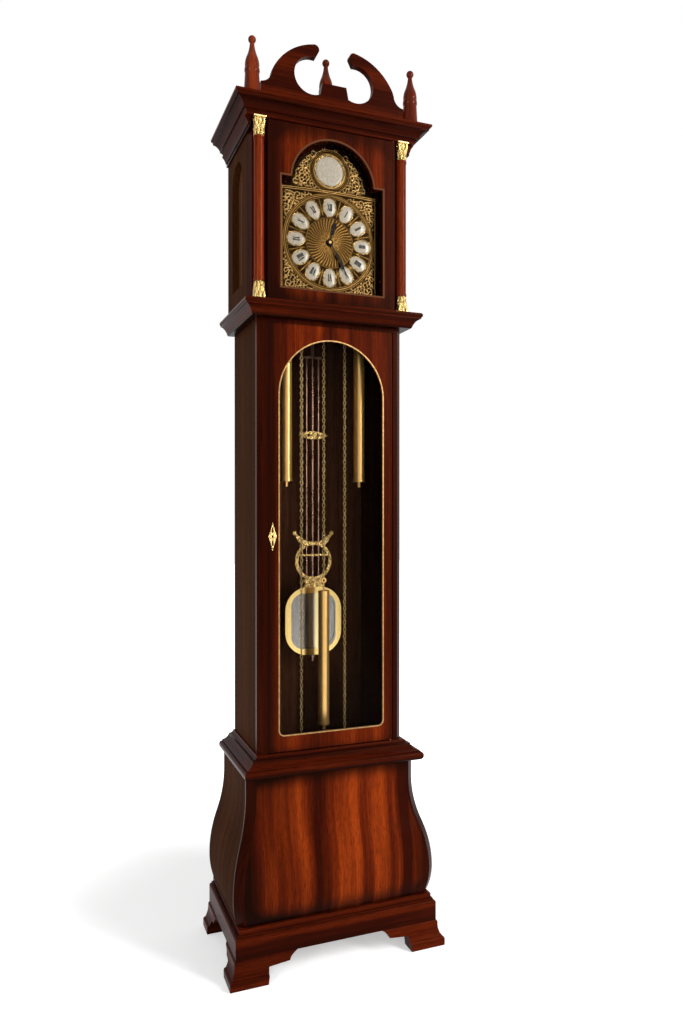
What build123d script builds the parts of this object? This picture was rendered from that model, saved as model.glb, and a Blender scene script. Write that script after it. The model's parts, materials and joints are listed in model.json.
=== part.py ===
from build123d import *
import os
from math import acos, cos, degrees, radians, sin, sqrt

# A longcase clock: bombe base on bracket feet, glazed trunk, arched hood with a swan-neck
# pediment, and a three-weight chain movement with a lyre pendulum.
# X runs across the clock, -Y is its front, Z is up. The origin is on the floor under its middle.

os.makedirs("parts", exist_ok=True)

# ------------------------------------------------------------------ the case, stage by stage
plinth_width = 466
plinth_depth = 268
base_width = 395
base_depth = 227.5
trunk_width = 342
trunk_depth = 216.5
hood_width = 373
hood_depth = 216

foot_height = 54
plinth_band_height = 44.5
plinth_cap_height = 13.5
base_height = 306
waist_height = 42
trunk_height = 1022
hood_base_height = 33
hood_height = 371
cornice_height = 60

back_board_thickness = 6
side_board_thickness = 14
ledge_thickness = 6
roof_thickness = 8

# ------------------------------------------------------------------ bracket feet
foot_flare = 15
foot_width = 82
foot_side_width = 60
foot_block_height = 20
bracket_reach = 68
bracket_side_reach = 40
bracket_drop = 18
foot_thickness = 22

# ------------------------------------------------------------------ bombe base
bulge = 35.6
bulge_peak_height = 60
bulge_rise = 200
bulge_tuck = 25.5
base_cant = 14.2
corner_post_width = 20
bombe_thickness = 12
plinth_rail_thickness = 34
base_board_thickness = 14

# ------------------------------------------------------------------ trunk, its frame and door
trunk_cant = 11.5
stile_width = 22.2
stile_thickness = 22
door_gap = 0.5
door_thickness = 20
door_foot_gap = 2
door_head_rail = 29
door_foot_rail = 33
door_stile = 23
door_top_drop = 10
glass_corner_radius = 14
rebate_width = 6
lip_thickness = 4
glass_thickness = 3
bead_width = 2.8
bead_proud = 1.2
pivot_radius = 1.5
pivot_inset = 4
pivot_length = 8
pivot_clearance = 0.05
escutcheon_height = 62
escutcheon_width = 19
escutcheon_thickness = 1.6
escutcheon_hole_radius = 2.4
escutcheon_inset = 9.8
escutcheon_rise = 470
escutcheon_slot_low = 6
escutcheon_slot_high = 22
escutcheon_slot_half = 2

# ------------------------------------------------------------------ mouldings
waist_projection = 38.3
hood_base_projection = 37.8
cornice_projection = 41.9
cornice_soffit_rise = 23
cornice_lip = 20

# ------------------------------------------------------------------ hood
hood_stile = 35
hood_frame_thickness = 32
recess_width = 31
recess_depth = 14
recess_flare = 6
hood_door_thickness = 16
hood_door_proud = 8
hood_door_foot_gap = 2
hood_door_head_gap = 2
door_bead_width = 4
door_bead_proud = 1
window_width = 93
window_height = 290
window_sill = 55
window_setback = 45
window_corner = 3
fret_thickness = 3
fret_overlap = 8
column_radius = 11
column_projection = 2
column_corner_inset = 17.5
mount_width = 27
mount_plate_width = 28.5
mount_plate_thickness = 3
mount_neck_radius = 12.4
mount_corner_radius = 5
capital_height = 41.5
column_foot_height = 42
collar_radius = 12
collar_height = 5

# ------------------------------------------------------------------ pediment and finials
pediment_thickness = 15
pediment_end_gap = 0.3
finial_front_setback = 11.5
pediment_end_rise = 36
pediment_hollow_radius = 26
pediment_shoulder_inset = 27
pediment_shoulder_rise = 69
pediment_swan_radius = 128
scroll_ring_radius = 41.5
scroll_ring_offset = 51.5
scroll_ring_rise = 69.5
scroll_mouth = 7.5
scroll_top_rise = 138
scroll_tip_offset = 34
scroll_tip_width = 16
pediment_plinth_half = 28
pediment_plinth_rise = 58
finial_height = 129
finial_foot_radius = 18
finial_shaft_taper = 2.7
finial_ring_rise = 52
finial_ring_height = 9
finial_ring_radius = 16.4
finial_shoulder_radius = 12.6
finial_shoulder_rise = 82
finial_neck_radius = 4.7
finial_ball_radius = 8.4
centre_block_height = 16
centre_block_width = 44
centre_finial_setback = 42

# ------------------------------------------------------------------ dial and hands
dial_width = 230
dial_bottom = 34
dial_centre_rise = 151.5
dial_shoulder_rise = 272
dial_arch_centre_rise = 271
dial_arch_radius = 92
dial_recess = 19
dial_thickness = 2
dial_margin = 5
dial_mask_thickness = 4
dial_foot_radius = 3
dial_foot_spread = 85
cartouche_circle_radius = 79
cartouche_length = 45
cartouche_width = 34
cartouche_rise = 1.4
ring_inner_radius = 55
ring_outer_radius = 104
ring_rise = 1
medallion_radius = 34
medallion_rise = 160.5
medallion_thickness = 2.4
hour_hand_length = 58
minute_hand_length = 84
hand_thickness = 1
hour_angle = 16
minute_angle = 150

# ------------------------------------------------------------------ movement
plate_half_width = 100
plate_height = 248
plate_thickness = 2.5
plate_front_depth = 40
plate_gap = 54
pillar_radius = 4
pillar_inset = 10
arbor_radius = 2
stud_radius = 3
cock_half = 20
cock_leg = 4
cock_height = 16
cock_reach = 13.5
cock_thickness = 5
cock_bore_depth = 3
cock_opening = 7
wheel_thickness = 2.4
pinion_length = 7
seat_thickness = 18
seat_depth = 86
seat_overhang = 6
seat_bearing = 11
chain_hole_radius = 6

great_teeth = 48
centre_pinion_leaves = 8
great_module = 2.25
centre_teeth = 45
third_pinion_leaves = 6
centre_module = 1.6
third_teeth = 48
escape_pinion_leaves = 6
third_module = 1.2
escape_teeth = 30
escape_radius = 25
great_direction = -108.5
third_direction = 62
cannon_leaves = 12
minute_wheel_teeth = 36
cannon_module = 1.0
minute_pinion_leaves = 8
hour_wheel_teeth = 32
minute_direction = -60
cannon_pipe_radius = 3
hour_pipe_radius = 4.6
pallet_width = 1.2
pallet_gap = 0.3
crutch_length = 80
crutch_gap = 0.5
crutch_pin_radius = 1.2
escape_root = 20.5

# ------------------------------------------------------------------ chains and weights
chain_radius = 2.3
chain_gap = 0.3
side_sprocket_radius = 18
time_sprocket_radius = 27
sprocket_width = 8
sprocket_drop = 61
side_chain_depth = 156
time_chain_setback = 16
side_sprocket_x = 71
weight_radius = 13.5
weight_length = 311
weight_cap_height = 6
weight_nut_height = 12
hook_height = 30
hook_eye = 6
hook_radius = 1.8
flange_rise = 3.5
side_weight_drop = 74
time_weight_drop = 638
side_tail_drop = 1010
time_tail_drop = 456

# ------------------------------------------------------------------ pendulum
pendulum_depth = 80
suspension_radius = 2
eye_radius = 5
eye_length = 7
leader_width = 8
leader_thickness = 2
grid_drop = 88
grid_length = 530
rod_radius = 2
centre_rod_radius = 2.8
rod_spacing = 15
crossbar_width = 45
crossbar_height = 5
ornament_drop = 272
ornament_width = 74
ornament_height = 19
ornament_hole_radius = 3.6
ornament_hole_spacing = 12
lyre_drop = 572
lyre_radius = 46
lyre_band = 8
lyre_top_bar = 43
lyre_bar_height = 6
lyre_string_bar = 14
lyre_horn_reach = 46
lyre_horn_rise = 66
lyre_horn_width = 9
lyre_tip_radius = 5.2
lyre_neck_width = 51
lyre_thickness = 5
bob_drop = 634
bob_height = 162
bob_width = 141
bob_corner_radius = 56
bob_thickness = 12
bob_rim = 17
bob_rim_rise = 2.5
nut_radius = 6
nut_height = 8

# ------------------------------------------------------------------ chimes
chime_rod_count = 8
chime_rod_spacing = 12
chime_rod_radius = 2
chime_rod_length = 165
chime_block_width = 150
chime_block_height = 24
chime_block_rise = 130
chime_rod_setback = 41
ear_thickness = 4
hammer_gap = 3
hammer_drop = 42
hammer_head_radius = 4
hammer_head_length = 10

# ------------------------------------------------------------------ places that follow
total_depth = plinth_depth + foot_flare
back_y = total_depth / 2
plinth_half = plinth_width / 2
base_half = base_width / 2
trunk_half = trunk_width / 2
hood_half = hood_width / 2
plinth_front = back_y - plinth_depth
base_front = back_y - base_depth
trunk_front = back_y - trunk_depth
hood_front = back_y - hood_depth
board_front = back_y - back_board_thickness

band_top = foot_height + plinth_band_height
plinth_top = band_top + plinth_cap_height
base_top = plinth_top + base_height
waist_top = base_top + waist_height
hood_floor = base_top + trunk_height
trunk_top = hood_floor - ledge_thickness
hood_base_bottom = hood_floor - hood_base_height
cornice_bottom = hood_floor + hood_height
cornice_top = cornice_bottom + cornice_height
cornice_soffit = cornice_bottom + cornice_soffit_rise
roof_bottom = cornice_top - roof_thickness
side_weight_bottom = hood_floor - side_weight_drop - weight_length
time_weight_bottom = hood_floor - time_weight_drop - weight_length
side_tail_end = hood_floor - side_tail_drop
time_tail_end = hood_floor - time_tail_drop
grid_top = hood_floor - grid_drop
grid_bottom = grid_top - grid_length
lyre_centre = hood_floor - lyre_drop
bob_top = hood_floor - bob_drop


def face_plane(x, y, z):
    """Upright sketch plane about a point, facing the front: x stays x, y is the height."""
    return Plane(origin=(x, y, z), x_dir=(1, 0, 0), z_dir=(0, -1, 0))


def front_plane(y):
    """Sketch plane across the clock: x stays x, the sketch's y is the height."""
    return face_plane(0, y, 0)


def side_plane(x, y=0):
    """Sketch plane front to back: the sketch's x runs back from y, its y is the height."""
    return Plane(origin=(x, y, 0), x_dir=(0, 1, 0), z_dir=(1, 0, 0))


def moulding_section_at(half_width, y):
    """Section across the left side of the case: x is the projection, y the height."""
    return Plane(origin=(-half_width, y, 0), x_dir=(-1, 0, 0), z_dir=(0, 1, 0))


def moulding_section(half_width):
    """The same section at the back end of a moulding's left run."""
    return moulding_section_at(half_width, back_y)


def moulding_path(half_width, front_y):
    """Three sides of the case that a moulding wraps, from the back left to the back right."""
    return Wire.make_polygon(
        [
            (-half_width, back_y, 0),
            (-half_width, front_y, 0),
            (half_width, front_y, 0),
            (half_width, back_y, 0),
        ],
        close=False,
    )


def block(x_range, y_range, z_range, mode=Mode.ADD):
    """A box between three pairs of limits, added to the part being built."""
    sizes = [high - low for low, high in (x_range, y_range, z_range)]
    middle = [(low + high) / 2 for low, high in (x_range, y_range, z_range)]
    with Locations(tuple(middle)):
        Box(*sizes, mode=mode)


def rod(start, direction, length, radius, mode=Mode.ADD):
    """A round bar from a point along a direction, added to the part being built."""
    with Locations(Plane(origin=start, z_dir=direction)):
        Cylinder(radius, length, align=(Align.CENTER, Align.CENTER, Align.MIN), mode=mode)


def arched_outline(half_width, bottom, spring, radius):
    """Straight sides, a flat bottom with rounded corners, and a round arch on top."""
    Line((-half_width + radius, bottom), (half_width - radius, bottom))
    RadiusArc((half_width - radius, bottom), (half_width, bottom + radius), -radius)
    Line((half_width, bottom + radius), (half_width, spring))
    ThreePointArc((half_width, spring), (0, spring + half_width), (-half_width, spring))
    Line((-half_width, spring), (-half_width, bottom + radius))
    RadiusArc((-half_width, bottom + radius), (-half_width + radius, bottom), -radius)


def shouldered_outline(half_width, bottom, shoulder, arch_centre, arch_radius):
    """A dial's outline: a square lower part, two shoulders and a round break-arch."""
    half_chord = sqrt(arch_radius**2 - (shoulder - arch_centre) ** 2)
    Polyline(
        (-half_chord, shoulder),
        (-half_width, shoulder),
        (-half_width, bottom),
        (half_width, bottom),
        (half_width, shoulder),
        (half_chord, shoulder),
    )
    ThreePointArc((half_chord, shoulder), (0, arch_centre + arch_radius), (-half_chord, shoulder))


def bombe_line(x, swell=1.0):
    """The base's side line: upright below the waist, an ogee to the bulge, then tucked in."""
    peak = plinth_top + bulge_peak_height
    shoulder = peak + bulge_rise
    foot = (x + swell * bulge_tuck, plinth_top)
    belly = (x + swell * bulge, peak)
    turn = (x + swell * bulge / 2, (peak + shoulder) / 2)
    neck = (x, shoulder)
    TangentArc(belly, foot, tangent=(0, -1))
    TangentArc(belly, turn, tangent=(0, 1))
    TangentArc(neck, turn, tangent=(0, -1))
    Line(neck, (x, base_top))


def close_bombe(inner, outer, swell_in=1.0, swell_out=1.0):
    """The level ends that join two base lines into a strip."""
    Line((inner, base_top), (outer, base_top))
    Line((inner + swell_in * bulge_tuck, plinth_top), (outer + swell_out * bulge_tuck, plinth_top))


# ================================================================== plinth and feet
cap_half = base_half + bulge_tuck + 1
cap_depth = base_depth + bulge_tuck + 1
cap_step = 3.5
rail = plinth_rail_thickness

with BuildPart() as plinth:
    with BuildSketch(moulding_section(plinth_half)):
        with BuildLine():
            Polyline(
                (-5, band_top),
                (-5, band_top + cap_step),
                (cap_half - plinth_half, band_top + cap_step),
                (cap_half - plinth_half, plinth_top),
                (-rail, plinth_top),
                (-rail, foot_height),
                (0, foot_height),
                (0, band_top - 5),
            )
            RadiusArc((0, band_top - 5), (-5, band_top), -5)
        make_face()
    sweep(path=moulding_path(plinth_half, plinth_front), transition=Transition.RIGHT)
    block(
        (rail - plinth_half, plinth_half - rail),
        (back_y - rail, back_y),
        (foot_height, plinth_top),
    )
plinth.part.label = "plinth"
export_step(plinth.part, "parts/plinth.step")

with BuildPart() as base_board:
    block(
        (rail - plinth_half, plinth_half - rail),
        (plinth_front + rail, back_y - rail),
        (foot_height, foot_height + base_board_thickness),
    )
base_board.part.label = "base_board"
export_step(base_board.part, "parts/base_board.step")


def foot_profile():
    """Ogee foot seen end on: a flared block below a hollow that runs up to the band."""
    block_top = foot_block_height
    Polyline(
        (0, foot_height),
        (-foot_thickness, foot_height),
        (-foot_thickness, 0),
        (foot_flare - 1, 0),
        (foot_flare, 1.5),
        (foot_flare, block_top - 5),
    )
    RadiusArc((foot_flare, block_top - 5), (foot_flare - 5, block_top), -5)
    RadiusArc((foot_flare - 5, block_top), (3, foot_height - 4), foot_height)
    RadiusArc((3, foot_height - 4), (0, foot_height), -5)


def bracket_gap(toe, reach):
    """What is cut from under a bracket: measured inwards from the plinth's outer face."""
    wing_low = foot_height - bracket_drop
    far = toe + reach
    Polyline(
        (far + 40, -1),
        (toe, -1),
        (toe + 4, wing_low - 4),
        (far - 18, wing_low),
    )
    RadiusArc((far - 18, wing_low), (far, foot_height), 26)
    Polyline((far, foot_height), (far, foot_height + 1), (far + 40, foot_height + 1), (far + 40, -1))


toe = foot_width - foot_flare
side_toe = foot_side_width - foot_flare
front_reach = toe + bracket_reach
side_reach = side_toe + bracket_side_reach

with BuildPart() as bracket_feet:
    with BuildSketch(moulding_section_at(plinth_half, plinth_front + side_reach)):
        with BuildLine():
            foot_profile()
        make_face()
    sweep(
        path=Wire.make_polygon(
            [
                (-plinth_half, plinth_front + side_reach, 0),
                (-plinth_half, plinth_front, 0),
                (-plinth_half + front_reach, plinth_front, 0),
            ],
            close=False,
        ),
        transition=Transition.RIGHT,
    )
    with BuildSketch(face_plane(-plinth_half, plinth_front, 0)):
        with BuildLine():
            bracket_gap(toe, bracket_reach)
        make_face()
    extrude(amount=foot_thickness + 1, both=True, mode=Mode.SUBTRACT)
    with BuildSketch(side_plane(-plinth_half, plinth_front)):
        with BuildLine():
            bracket_gap(side_toe, bracket_side_reach)
        make_face()
    extrude(amount=foot_thickness + 1, both=True, mode=Mode.SUBTRACT)
    with BuildSketch(moulding_section(plinth_half)):
        with BuildLine():
            foot_profile()
        make_face()
    extrude(amount=-side_reach)
    with BuildSketch(Plane(origin=(-plinth_half, back_y, 0), x_dir=(0, -1, 0), z_dir=(-1, 0, 0))):
        with BuildLine():
            bracket_gap(side_toe, bracket_side_reach)
        make_face()
    extrude(amount=foot_thickness + 1, both=True, mode=Mode.SUBTRACT)
    mirror(about=Plane.YZ)
bracket_feet.part.label = "bracket_feet"
export_step(bracket_feet.part, "parts/bracket_feet.step")

# ================================================================== bombe base
# Each panel is a strip that follows the swelling line, cut off where the corner post's
# inner face, which follows the same line, meets it.
post = corner_post_width

with BuildPart() as bombe_front:
    with BuildSketch(Plane(origin=(0, 0, 0), x_dir=(0, -1, 0), z_dir=(-1, 0, 0))):
        with BuildLine():
            bombe_line(-base_front)
            bombe_line(-base_front - bombe_thickness)
            close_bombe(-base_front - bombe_thickness, -base_front)
        make_face()
    extrude(amount=plinth_half, both=True)
    with BuildSketch(Plane.XZ):
        with BuildLine():
            bombe_line(base_half - post)
            Polyline(
                (base_half - post, base_top),
                (0, base_top),
                (0, plinth_top),
                (base_half - post + bulge_tuck, plinth_top),
            )
        make_face()
        mirror(about=Plane.YZ)
    extrude(amount=plinth_depth, mode=Mode.INTERSECT)
bombe_front.part.label = "bombe_front"
export_step(bombe_front.part, "parts/bombe_front.step")

with BuildPart() as bombe_sides:
    with BuildSketch(front_plane(back_y)):
        with BuildLine():
            bombe_line(base_half)
            bombe_line(base_half - bombe_thickness)
            close_bombe(base_half - bombe_thickness, base_half)
        make_face()
    extrude(amount=plinth_depth)
    with BuildSketch(Plane(origin=(0, 0, 0), x_dir=(0, -1, 0), z_dir=(-1, 0, 0))):
        with BuildLine():
            edge = -base_front - post
            bombe_line(edge)
            Polyline(
                (edge, base_top),
                (-back_y, base_top),
                (-back_y, plinth_top),
                (edge + bulge_tuck, plinth_top),
            )
        make_face()
    extrude(amount=-plinth_half, mode=Mode.INTERSECT)
    mirror(about=Plane.YZ)
bombe_sides.part.label = "bombe_sides"
export_step(bombe_sides.part, "parts/bombe_sides.step")

with BuildPart() as base_corner_posts:
    with BuildSketch(front_plane(0)):
        with BuildLine():
            bombe_line(base_half)
            bombe_line(base_half - post)
            close_bombe(base_half - post, base_half)
        make_face()
    extrude(amount=plinth_depth)
    with BuildSketch(Plane(origin=(0, 0, 0), x_dir=(0, -1, 0), z_dir=(-1, 0, 0))):
        with BuildLine():
            bombe_line(-base_front)
            bombe_line(-base_front - post)
            close_bombe(-base_front - post, -base_front)
        make_face()
    extrude(amount=-plinth_half, mode=Mode.INTERSECT)
    cant_distance = (base_half - base_front - base_cant) / sqrt(2)
    with BuildSketch(Plane(origin=(0, 0, 0), x_dir=(1, -1, 0), z_dir=(-1, -1, 0))):
        with BuildLine():
            bombe_line(cant_distance, sqrt(2))
            Polyline(
                (cant_distance, base_top),
                (cant_distance - 2 * post, base_top),
                (cant_distance - 2 * post, plinth_top),
                (cant_distance + sqrt(2) * bulge_tuck, plinth_top),
            )
        make_face()
    extrude(amount=plinth_half, both=True, mode=Mode.INTERSECT)
    mirror(about=Plane.YZ)
base_corner_posts.part.label = "base_corner_posts"
export_step(base_corner_posts.part, "parts/base_corner_posts.step")


# ================================================================== trunk
def trunk_outline():
    """Plan of the trunk: canted front corners, open at the back plane."""
    Polyline(
        (-trunk_half, back_y),
        (-trunk_half, trunk_front + trunk_cant),
        (trunk_cant - trunk_half, trunk_front),
        (trunk_half - trunk_cant, trunk_front),
        (trunk_half, trunk_front + trunk_cant),
        (trunk_half, back_y),
        close=True,
    )


side_inner = trunk_half - side_board_thickness
frame_back = trunk_front + stile_thickness
door_half = trunk_half - stile_width - door_gap
door_bottom = waist_top + door_foot_gap
door_top = hood_base_bottom - door_top_drop
glass_half = door_half - door_stile
glass_bottom = door_bottom + door_foot_rail
glass_spring = door_top - door_head_rail - glass_half

with BuildPart() as waist_moulding:
    with BuildSketch(moulding_section(trunk_half)):
        with BuildLine():
            nose = waist_projection
            Polyline(
                (nose - 4, base_top + 18),
                (nose - 7, base_top + 18),
                (nose - 7, base_top + 21),
            )
            RadiusArc((nose - 7, base_top + 21), (15, base_top + 32), 22)
            Polyline((15, base_top + 32), (15, base_top + 35), (11, base_top + 35))
            RadiusArc((11, base_top + 35), (4, waist_top), 9)
            Polyline(
                (4, waist_top),
                (-trunk_cant, waist_top),
                (-trunk_cant, base_top + ledge_thickness),
                (-side_board_thickness, base_top + ledge_thickness),
                (-side_board_thickness, base_top),
                (nose - 6, base_top),
            )
            RadiusArc((nose - 6, base_top), (nose, base_top + 9), -10)
            RadiusArc((nose, base_top + 9), (nose - 4, base_top + 18), -8)
        make_face()
    sweep(path=moulding_path(trunk_half, trunk_front), transition=Transition.RIGHT)
    with BuildSketch(Plane.XY.offset(base_top + ledge_thickness)):
        with BuildLine():
            trunk_outline()
        make_face()
    extrude(amount=waist_height, mode=Mode.SUBTRACT)
waist_moulding.part.label = "waist_moulding"
export_step(waist_moulding.part, "parts/waist_moulding.step")

with BuildPart() as trunk_sides:
    for end in (-1, 1):
        inner, outer = sorted((end * side_inner, end * trunk_half))
        block((inner, outer), (frame_back, back_y), (base_top + ledge_thickness, trunk_top))
trunk_sides.part.label = "trunk_sides"
export_step(trunk_sides.part, "parts/trunk_sides.step")

with BuildPart() as trunk_front_frame:
    with BuildSketch(Plane.XY.offset(base_top + ledge_thickness)):
        with BuildLine():
            trunk_outline()
        make_face()
    extrude(amount=trunk_top - base_top - ledge_thickness)
    block(
        (-trunk_half, trunk_half),
        (frame_back, back_y),
        (base_top, trunk_top),
        mode=Mode.SUBTRACT,
    )
    block(
        (-door_half - door_gap, door_half + door_gap),
        (trunk_front, frame_back),
        (waist_top, door_top + door_gap),
        mode=Mode.SUBTRACT,
    )
    pivot_x = door_half - pivot_inset
    pivot_y = trunk_front + pivot_inset
    rod(
        (pivot_x, pivot_y, waist_top - pivot_length),
        (0, 0, 1),
        pivot_length,
        pivot_radius + pivot_clearance,
        mode=Mode.SUBTRACT,
    )
    rod(
        (pivot_x, pivot_y, door_top + door_gap),
        (0, 0, 1),
        pivot_length,
        pivot_radius + pivot_clearance,
        mode=Mode.SUBTRACT,
    )
trunk_front_frame.part.label = "trunk_front_frame"
export_step(trunk_front_frame.part, "parts/trunk_front_frame.step")

# ------------------------------------------------------------------ trunk door
lip_back = trunk_front + lip_thickness

with BuildPart() as trunk_door_frame:
    block((-door_half, door_half), (trunk_front, trunk_front + door_thickness), (door_bottom, door_top))
    swing_edge = trunk_door_frame.edges().filter_by(Axis.Z).group_by(Axis.X)[-1].sort_by(Axis.Y)[0]
    fillet(swing_edge, pivot_inset - 0.05)
    with BuildSketch(front_plane(trunk_front)):
        with BuildLine():
            arched_outline(glass_half, glass_bottom, glass_spring, glass_corner_radius)
        make_face()
    extrude(amount=-lip_thickness, mode=Mode.SUBTRACT)
    with BuildSketch(front_plane(lip_back)):
        with BuildLine():
            arched_outline(
                glass_half + rebate_width,
                glass_bottom - rebate_width,
                glass_spring,
                glass_corner_radius,
            )
        make_face()
    extrude(amount=-door_thickness, mode=Mode.SUBTRACT)
    for height, way in ((door_bottom, 1), (door_top, -1)):
        rod((pivot_x, pivot_y, height), (0, 0, way), pivot_length, pivot_radius, mode=Mode.SUBTRACT)
trunk_door_frame.part.label = "trunk_door_frame"
export_step(trunk_door_frame.part, "parts/trunk_door_frame.step")

with BuildPart() as trunk_door_glass:
    with BuildSketch(front_plane(lip_back)):
        with BuildLine():
            arched_outline(
                glass_half + rebate_width,
                glass_bottom - rebate_width,
                glass_spring,
                glass_corner_radius,
            )
        make_face()
    extrude(amount=-glass_thickness)
trunk_door_glass.part.label = "trunk_door_glass"
export_step(trunk_door_glass.part, "parts/trunk_door_glass.step")

with BuildPart() as trunk_door_bead:
    with BuildSketch(front_plane(lip_back)):
        with BuildLine():
            arched_outline(glass_half, glass_bottom, glass_spring, glass_corner_radius)
        make_face()
        with BuildLine():
            arched_outline(
                glass_half - bead_width,
                glass_bottom + bead_width,
                glass_spring,
                glass_corner_radius - bead_width,
            )
        make_face(mode=Mode.SUBTRACT)
    extrude(amount=lip_thickness + bead_proud)
trunk_door_bead.part.label = "trunk_door_bead"
export_step(trunk_door_bead.part, "parts/trunk_door_bead.step")

with BuildPart() as trunk_door_pivots:
    for height, way in ((door_bottom, -1), (door_top, 1)):
        gap = door_foot_gap if way < 0 else door_gap
        rod(
            (pivot_x, pivot_y, height - way * pivot_length),
            (0, 0, way),
            2 * pivot_length + gap - 1,
            pivot_radius,
        )
trunk_door_pivots.part.label = "trunk_door_pivots"
export_step(trunk_door_pivots.part, "parts/trunk_door_pivots.step")

with BuildPart() as door_escutcheon:
    escutcheon_x = escutcheon_inset - door_half
    with BuildSketch(face_plane(escutcheon_x, trunk_front, door_bottom + escutcheon_rise)):
        with BuildLine():
            half_w = escutcheon_width / 2
            half_h = escutcheon_height / 2
            for sx in (-1, 1):
                for sz in (-1, 1):
                    ThreePointArc(
                        (0, sz * half_h),
                        (sx * half_w * 0.42, sz * half_h * 0.5),
                        (sx * half_w, 0),
                    )
        make_face()
        Circle(escutcheon_hole_radius, mode=Mode.SUBTRACT)
        for sz in (-1, 1):
            with BuildLine():
                low = (0, sz * escutcheon_slot_low)
                high = (0, sz * escutcheon_slot_high)
                middle = sz * (escutcheon_slot_low + escutcheon_slot_high) / 2
                ThreePointArc(low, (escutcheon_slot_half, middle), high)
                ThreePointArc(low, (-escutcheon_slot_half, middle), high)
            make_face(mode=Mode.SUBTRACT)
    extrude(amount=escutcheon_thickness)
door_escutcheon.part.label = "door_escutcheon"
export_step(door_escutcheon.part, "parts/door_escutcheon.step")

# ================================================================== back board
hood_inner = hood_half - side_board_thickness

with BuildPart() as back_board:
    with BuildSketch(front_plane(back_y)):
        with BuildLine():
            base_inner = base_half - bombe_thickness
            bombe_line(base_inner)
            Polyline(
                (base_inner, base_top),
                (side_inner, base_top),
                (side_inner, hood_floor),
                (hood_inner, hood_floor),
                (hood_inner, roof_bottom),
                (0, roof_bottom),
                (0, plinth_top),
                (base_inner + bulge_tuck, plinth_top),
            )
        make_face()
        mirror(about=Plane.YZ)
    extrude(amount=back_board_thickness)
back_board.part.label = "back_board"
export_step(back_board.part, "parts/back_board.step")


# ================================================================== hood carcase
def hood_outline():
    """Plan of the hood: each front corner steps back behind its column, the back is open."""
    for side in (-1, 1):
        outer = side * hood_half
        floor_y = hood_front + recess_depth
        Polyline(
            (outer, back_y),
            (outer, hood_front + hood_frame_thickness),
            (outer - side * recess_flare, floor_y),
            (outer - side * recess_width, floor_y),
            (outer - side * recess_width, hood_front),
        )
    Line((recess_width - hood_half, hood_front), (hood_half - recess_width, hood_front))
    Line((-hood_half, back_y), (hood_half, back_y))


def cornice_section():
    """Cornice over a flat soffit: hollow, lip, ovolo, step and a top fillet."""
    low = cornice_soffit
    reach = cornice_projection
    lip = cornice_lip
    root = -recess_width - 1
    Polyline((root, low), (lip - 8, low))
    RadiusArc((lip - 8, low), (lip - 3, low + 9), 9)
    Polyline((lip - 3, low + 9), (lip, low + 9), (lip, low + 12))
    RadiusArc((lip, low + 12), (reach - 8, low + 25), 22)
    Polyline((reach - 8, low + 25), (reach - 5, low + 25), (reach - 5, low + 28))
    RadiusArc((reach - 5, low + 28), (reach, low + 32), 6)
    Polyline((reach, low + 32), (reach, cornice_top), (root, cornice_top), (root, low))


def cove_section():
    """Cove under the cornice's side runs, from its foot bead up to the soffit."""
    Polyline(
        (0, cornice_soffit),
        (0, cornice_bottom),
        (4, cornice_bottom),
        (4, cornice_bottom + 8),
        (6, cornice_bottom + 8),
    )
    RadiusArc((6, cornice_bottom + 8), (cornice_lip - 5, cornice_soffit), 26)
    Line((cornice_lip - 5, cornice_soffit), (0, cornice_soffit))


dial_half = dial_width / 2
dial_low = hood_floor + dial_bottom
dial_shoulder = hood_floor + dial_shoulder_rise
arch_centre = hood_floor + dial_arch_centre_rise
hood_door_half = hood_half - hood_stile - door_gap
hood_door_bottom = hood_floor + hood_door_foot_gap
hood_door_top = cornice_soffit - hood_door_head_gap
hood_door_front = hood_front - hood_door_proud
hood_door_back = hood_door_front + hood_door_thickness
hood_frame_back = hood_front + hood_frame_thickness
dial_face = hood_front + dial_recess
mask_front = dial_face + dial_thickness + 1
hood_pivot_x = hood_door_half - pivot_inset
hood_pivot_y = hood_door_front + pivot_inset

with BuildPart() as hood_base_moulding:
    with BuildSketch(moulding_section(trunk_half)):
        with BuildLine():
            low = hood_base_bottom
            reach = hood_base_projection
            Polyline(
                (reach - 4, hood_floor),
                (-side_board_thickness, hood_floor),
                (-side_board_thickness, trunk_top),
                (-trunk_cant, trunk_top),
                (-trunk_cant, low),
                (16, low),
                (18, low + 2.5),
            )
            RadiusArc((18, low + 2.5), (reach - 6.5, low + 20), 30)
            Polyline((reach - 6.5, low + 20), (reach - 4, low + 20), (reach - 4, low + 22.5))
            nose_low = low + 22.5
            RadiusArc((reach - 4, nose_low), (reach - 4, hood_floor), 0.59 * (nose_low - hood_floor))
        make_face()
    sweep(path=moulding_path(trunk_half, trunk_front), transition=Transition.RIGHT)
    with BuildSketch(Plane.XY.offset(trunk_top)):
        with BuildLine():
            trunk_outline()
        make_face()
    extrude(amount=-hood_base_height, mode=Mode.SUBTRACT)
    rod(
        (hood_pivot_x, hood_pivot_y, hood_floor),
        (0, 0, -1),
        pivot_length,
        pivot_radius + pivot_clearance,
        mode=Mode.SUBTRACT,
    )
hood_base_moulding.part.label = "hood_base_moulding"
export_step(hood_base_moulding.part, "parts/hood_base_moulding.step")

with BuildPart() as hood_sides:
    window_middle = back_y - window_setback - window_width / 2
    window_low = hood_floor + window_sill
    window_spring = window_low + window_height - window_width / 2
    for end in (-1, 1):
        inner, outer = sorted((end * hood_inner, end * hood_half))
        block((inner, outer), (hood_frame_back, back_y), (hood_floor, roof_bottom))
    with BuildSketch(side_plane(0, window_middle)):
        with BuildLine():
            arched_outline(window_width / 2, window_low, window_spring, window_corner)
        make_face()
    extrude(amount=hood_half, both=True, mode=Mode.SUBTRACT)
hood_sides.part.label = "hood_sides"
export_step(hood_sides.part, "parts/hood_sides.step")

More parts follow.
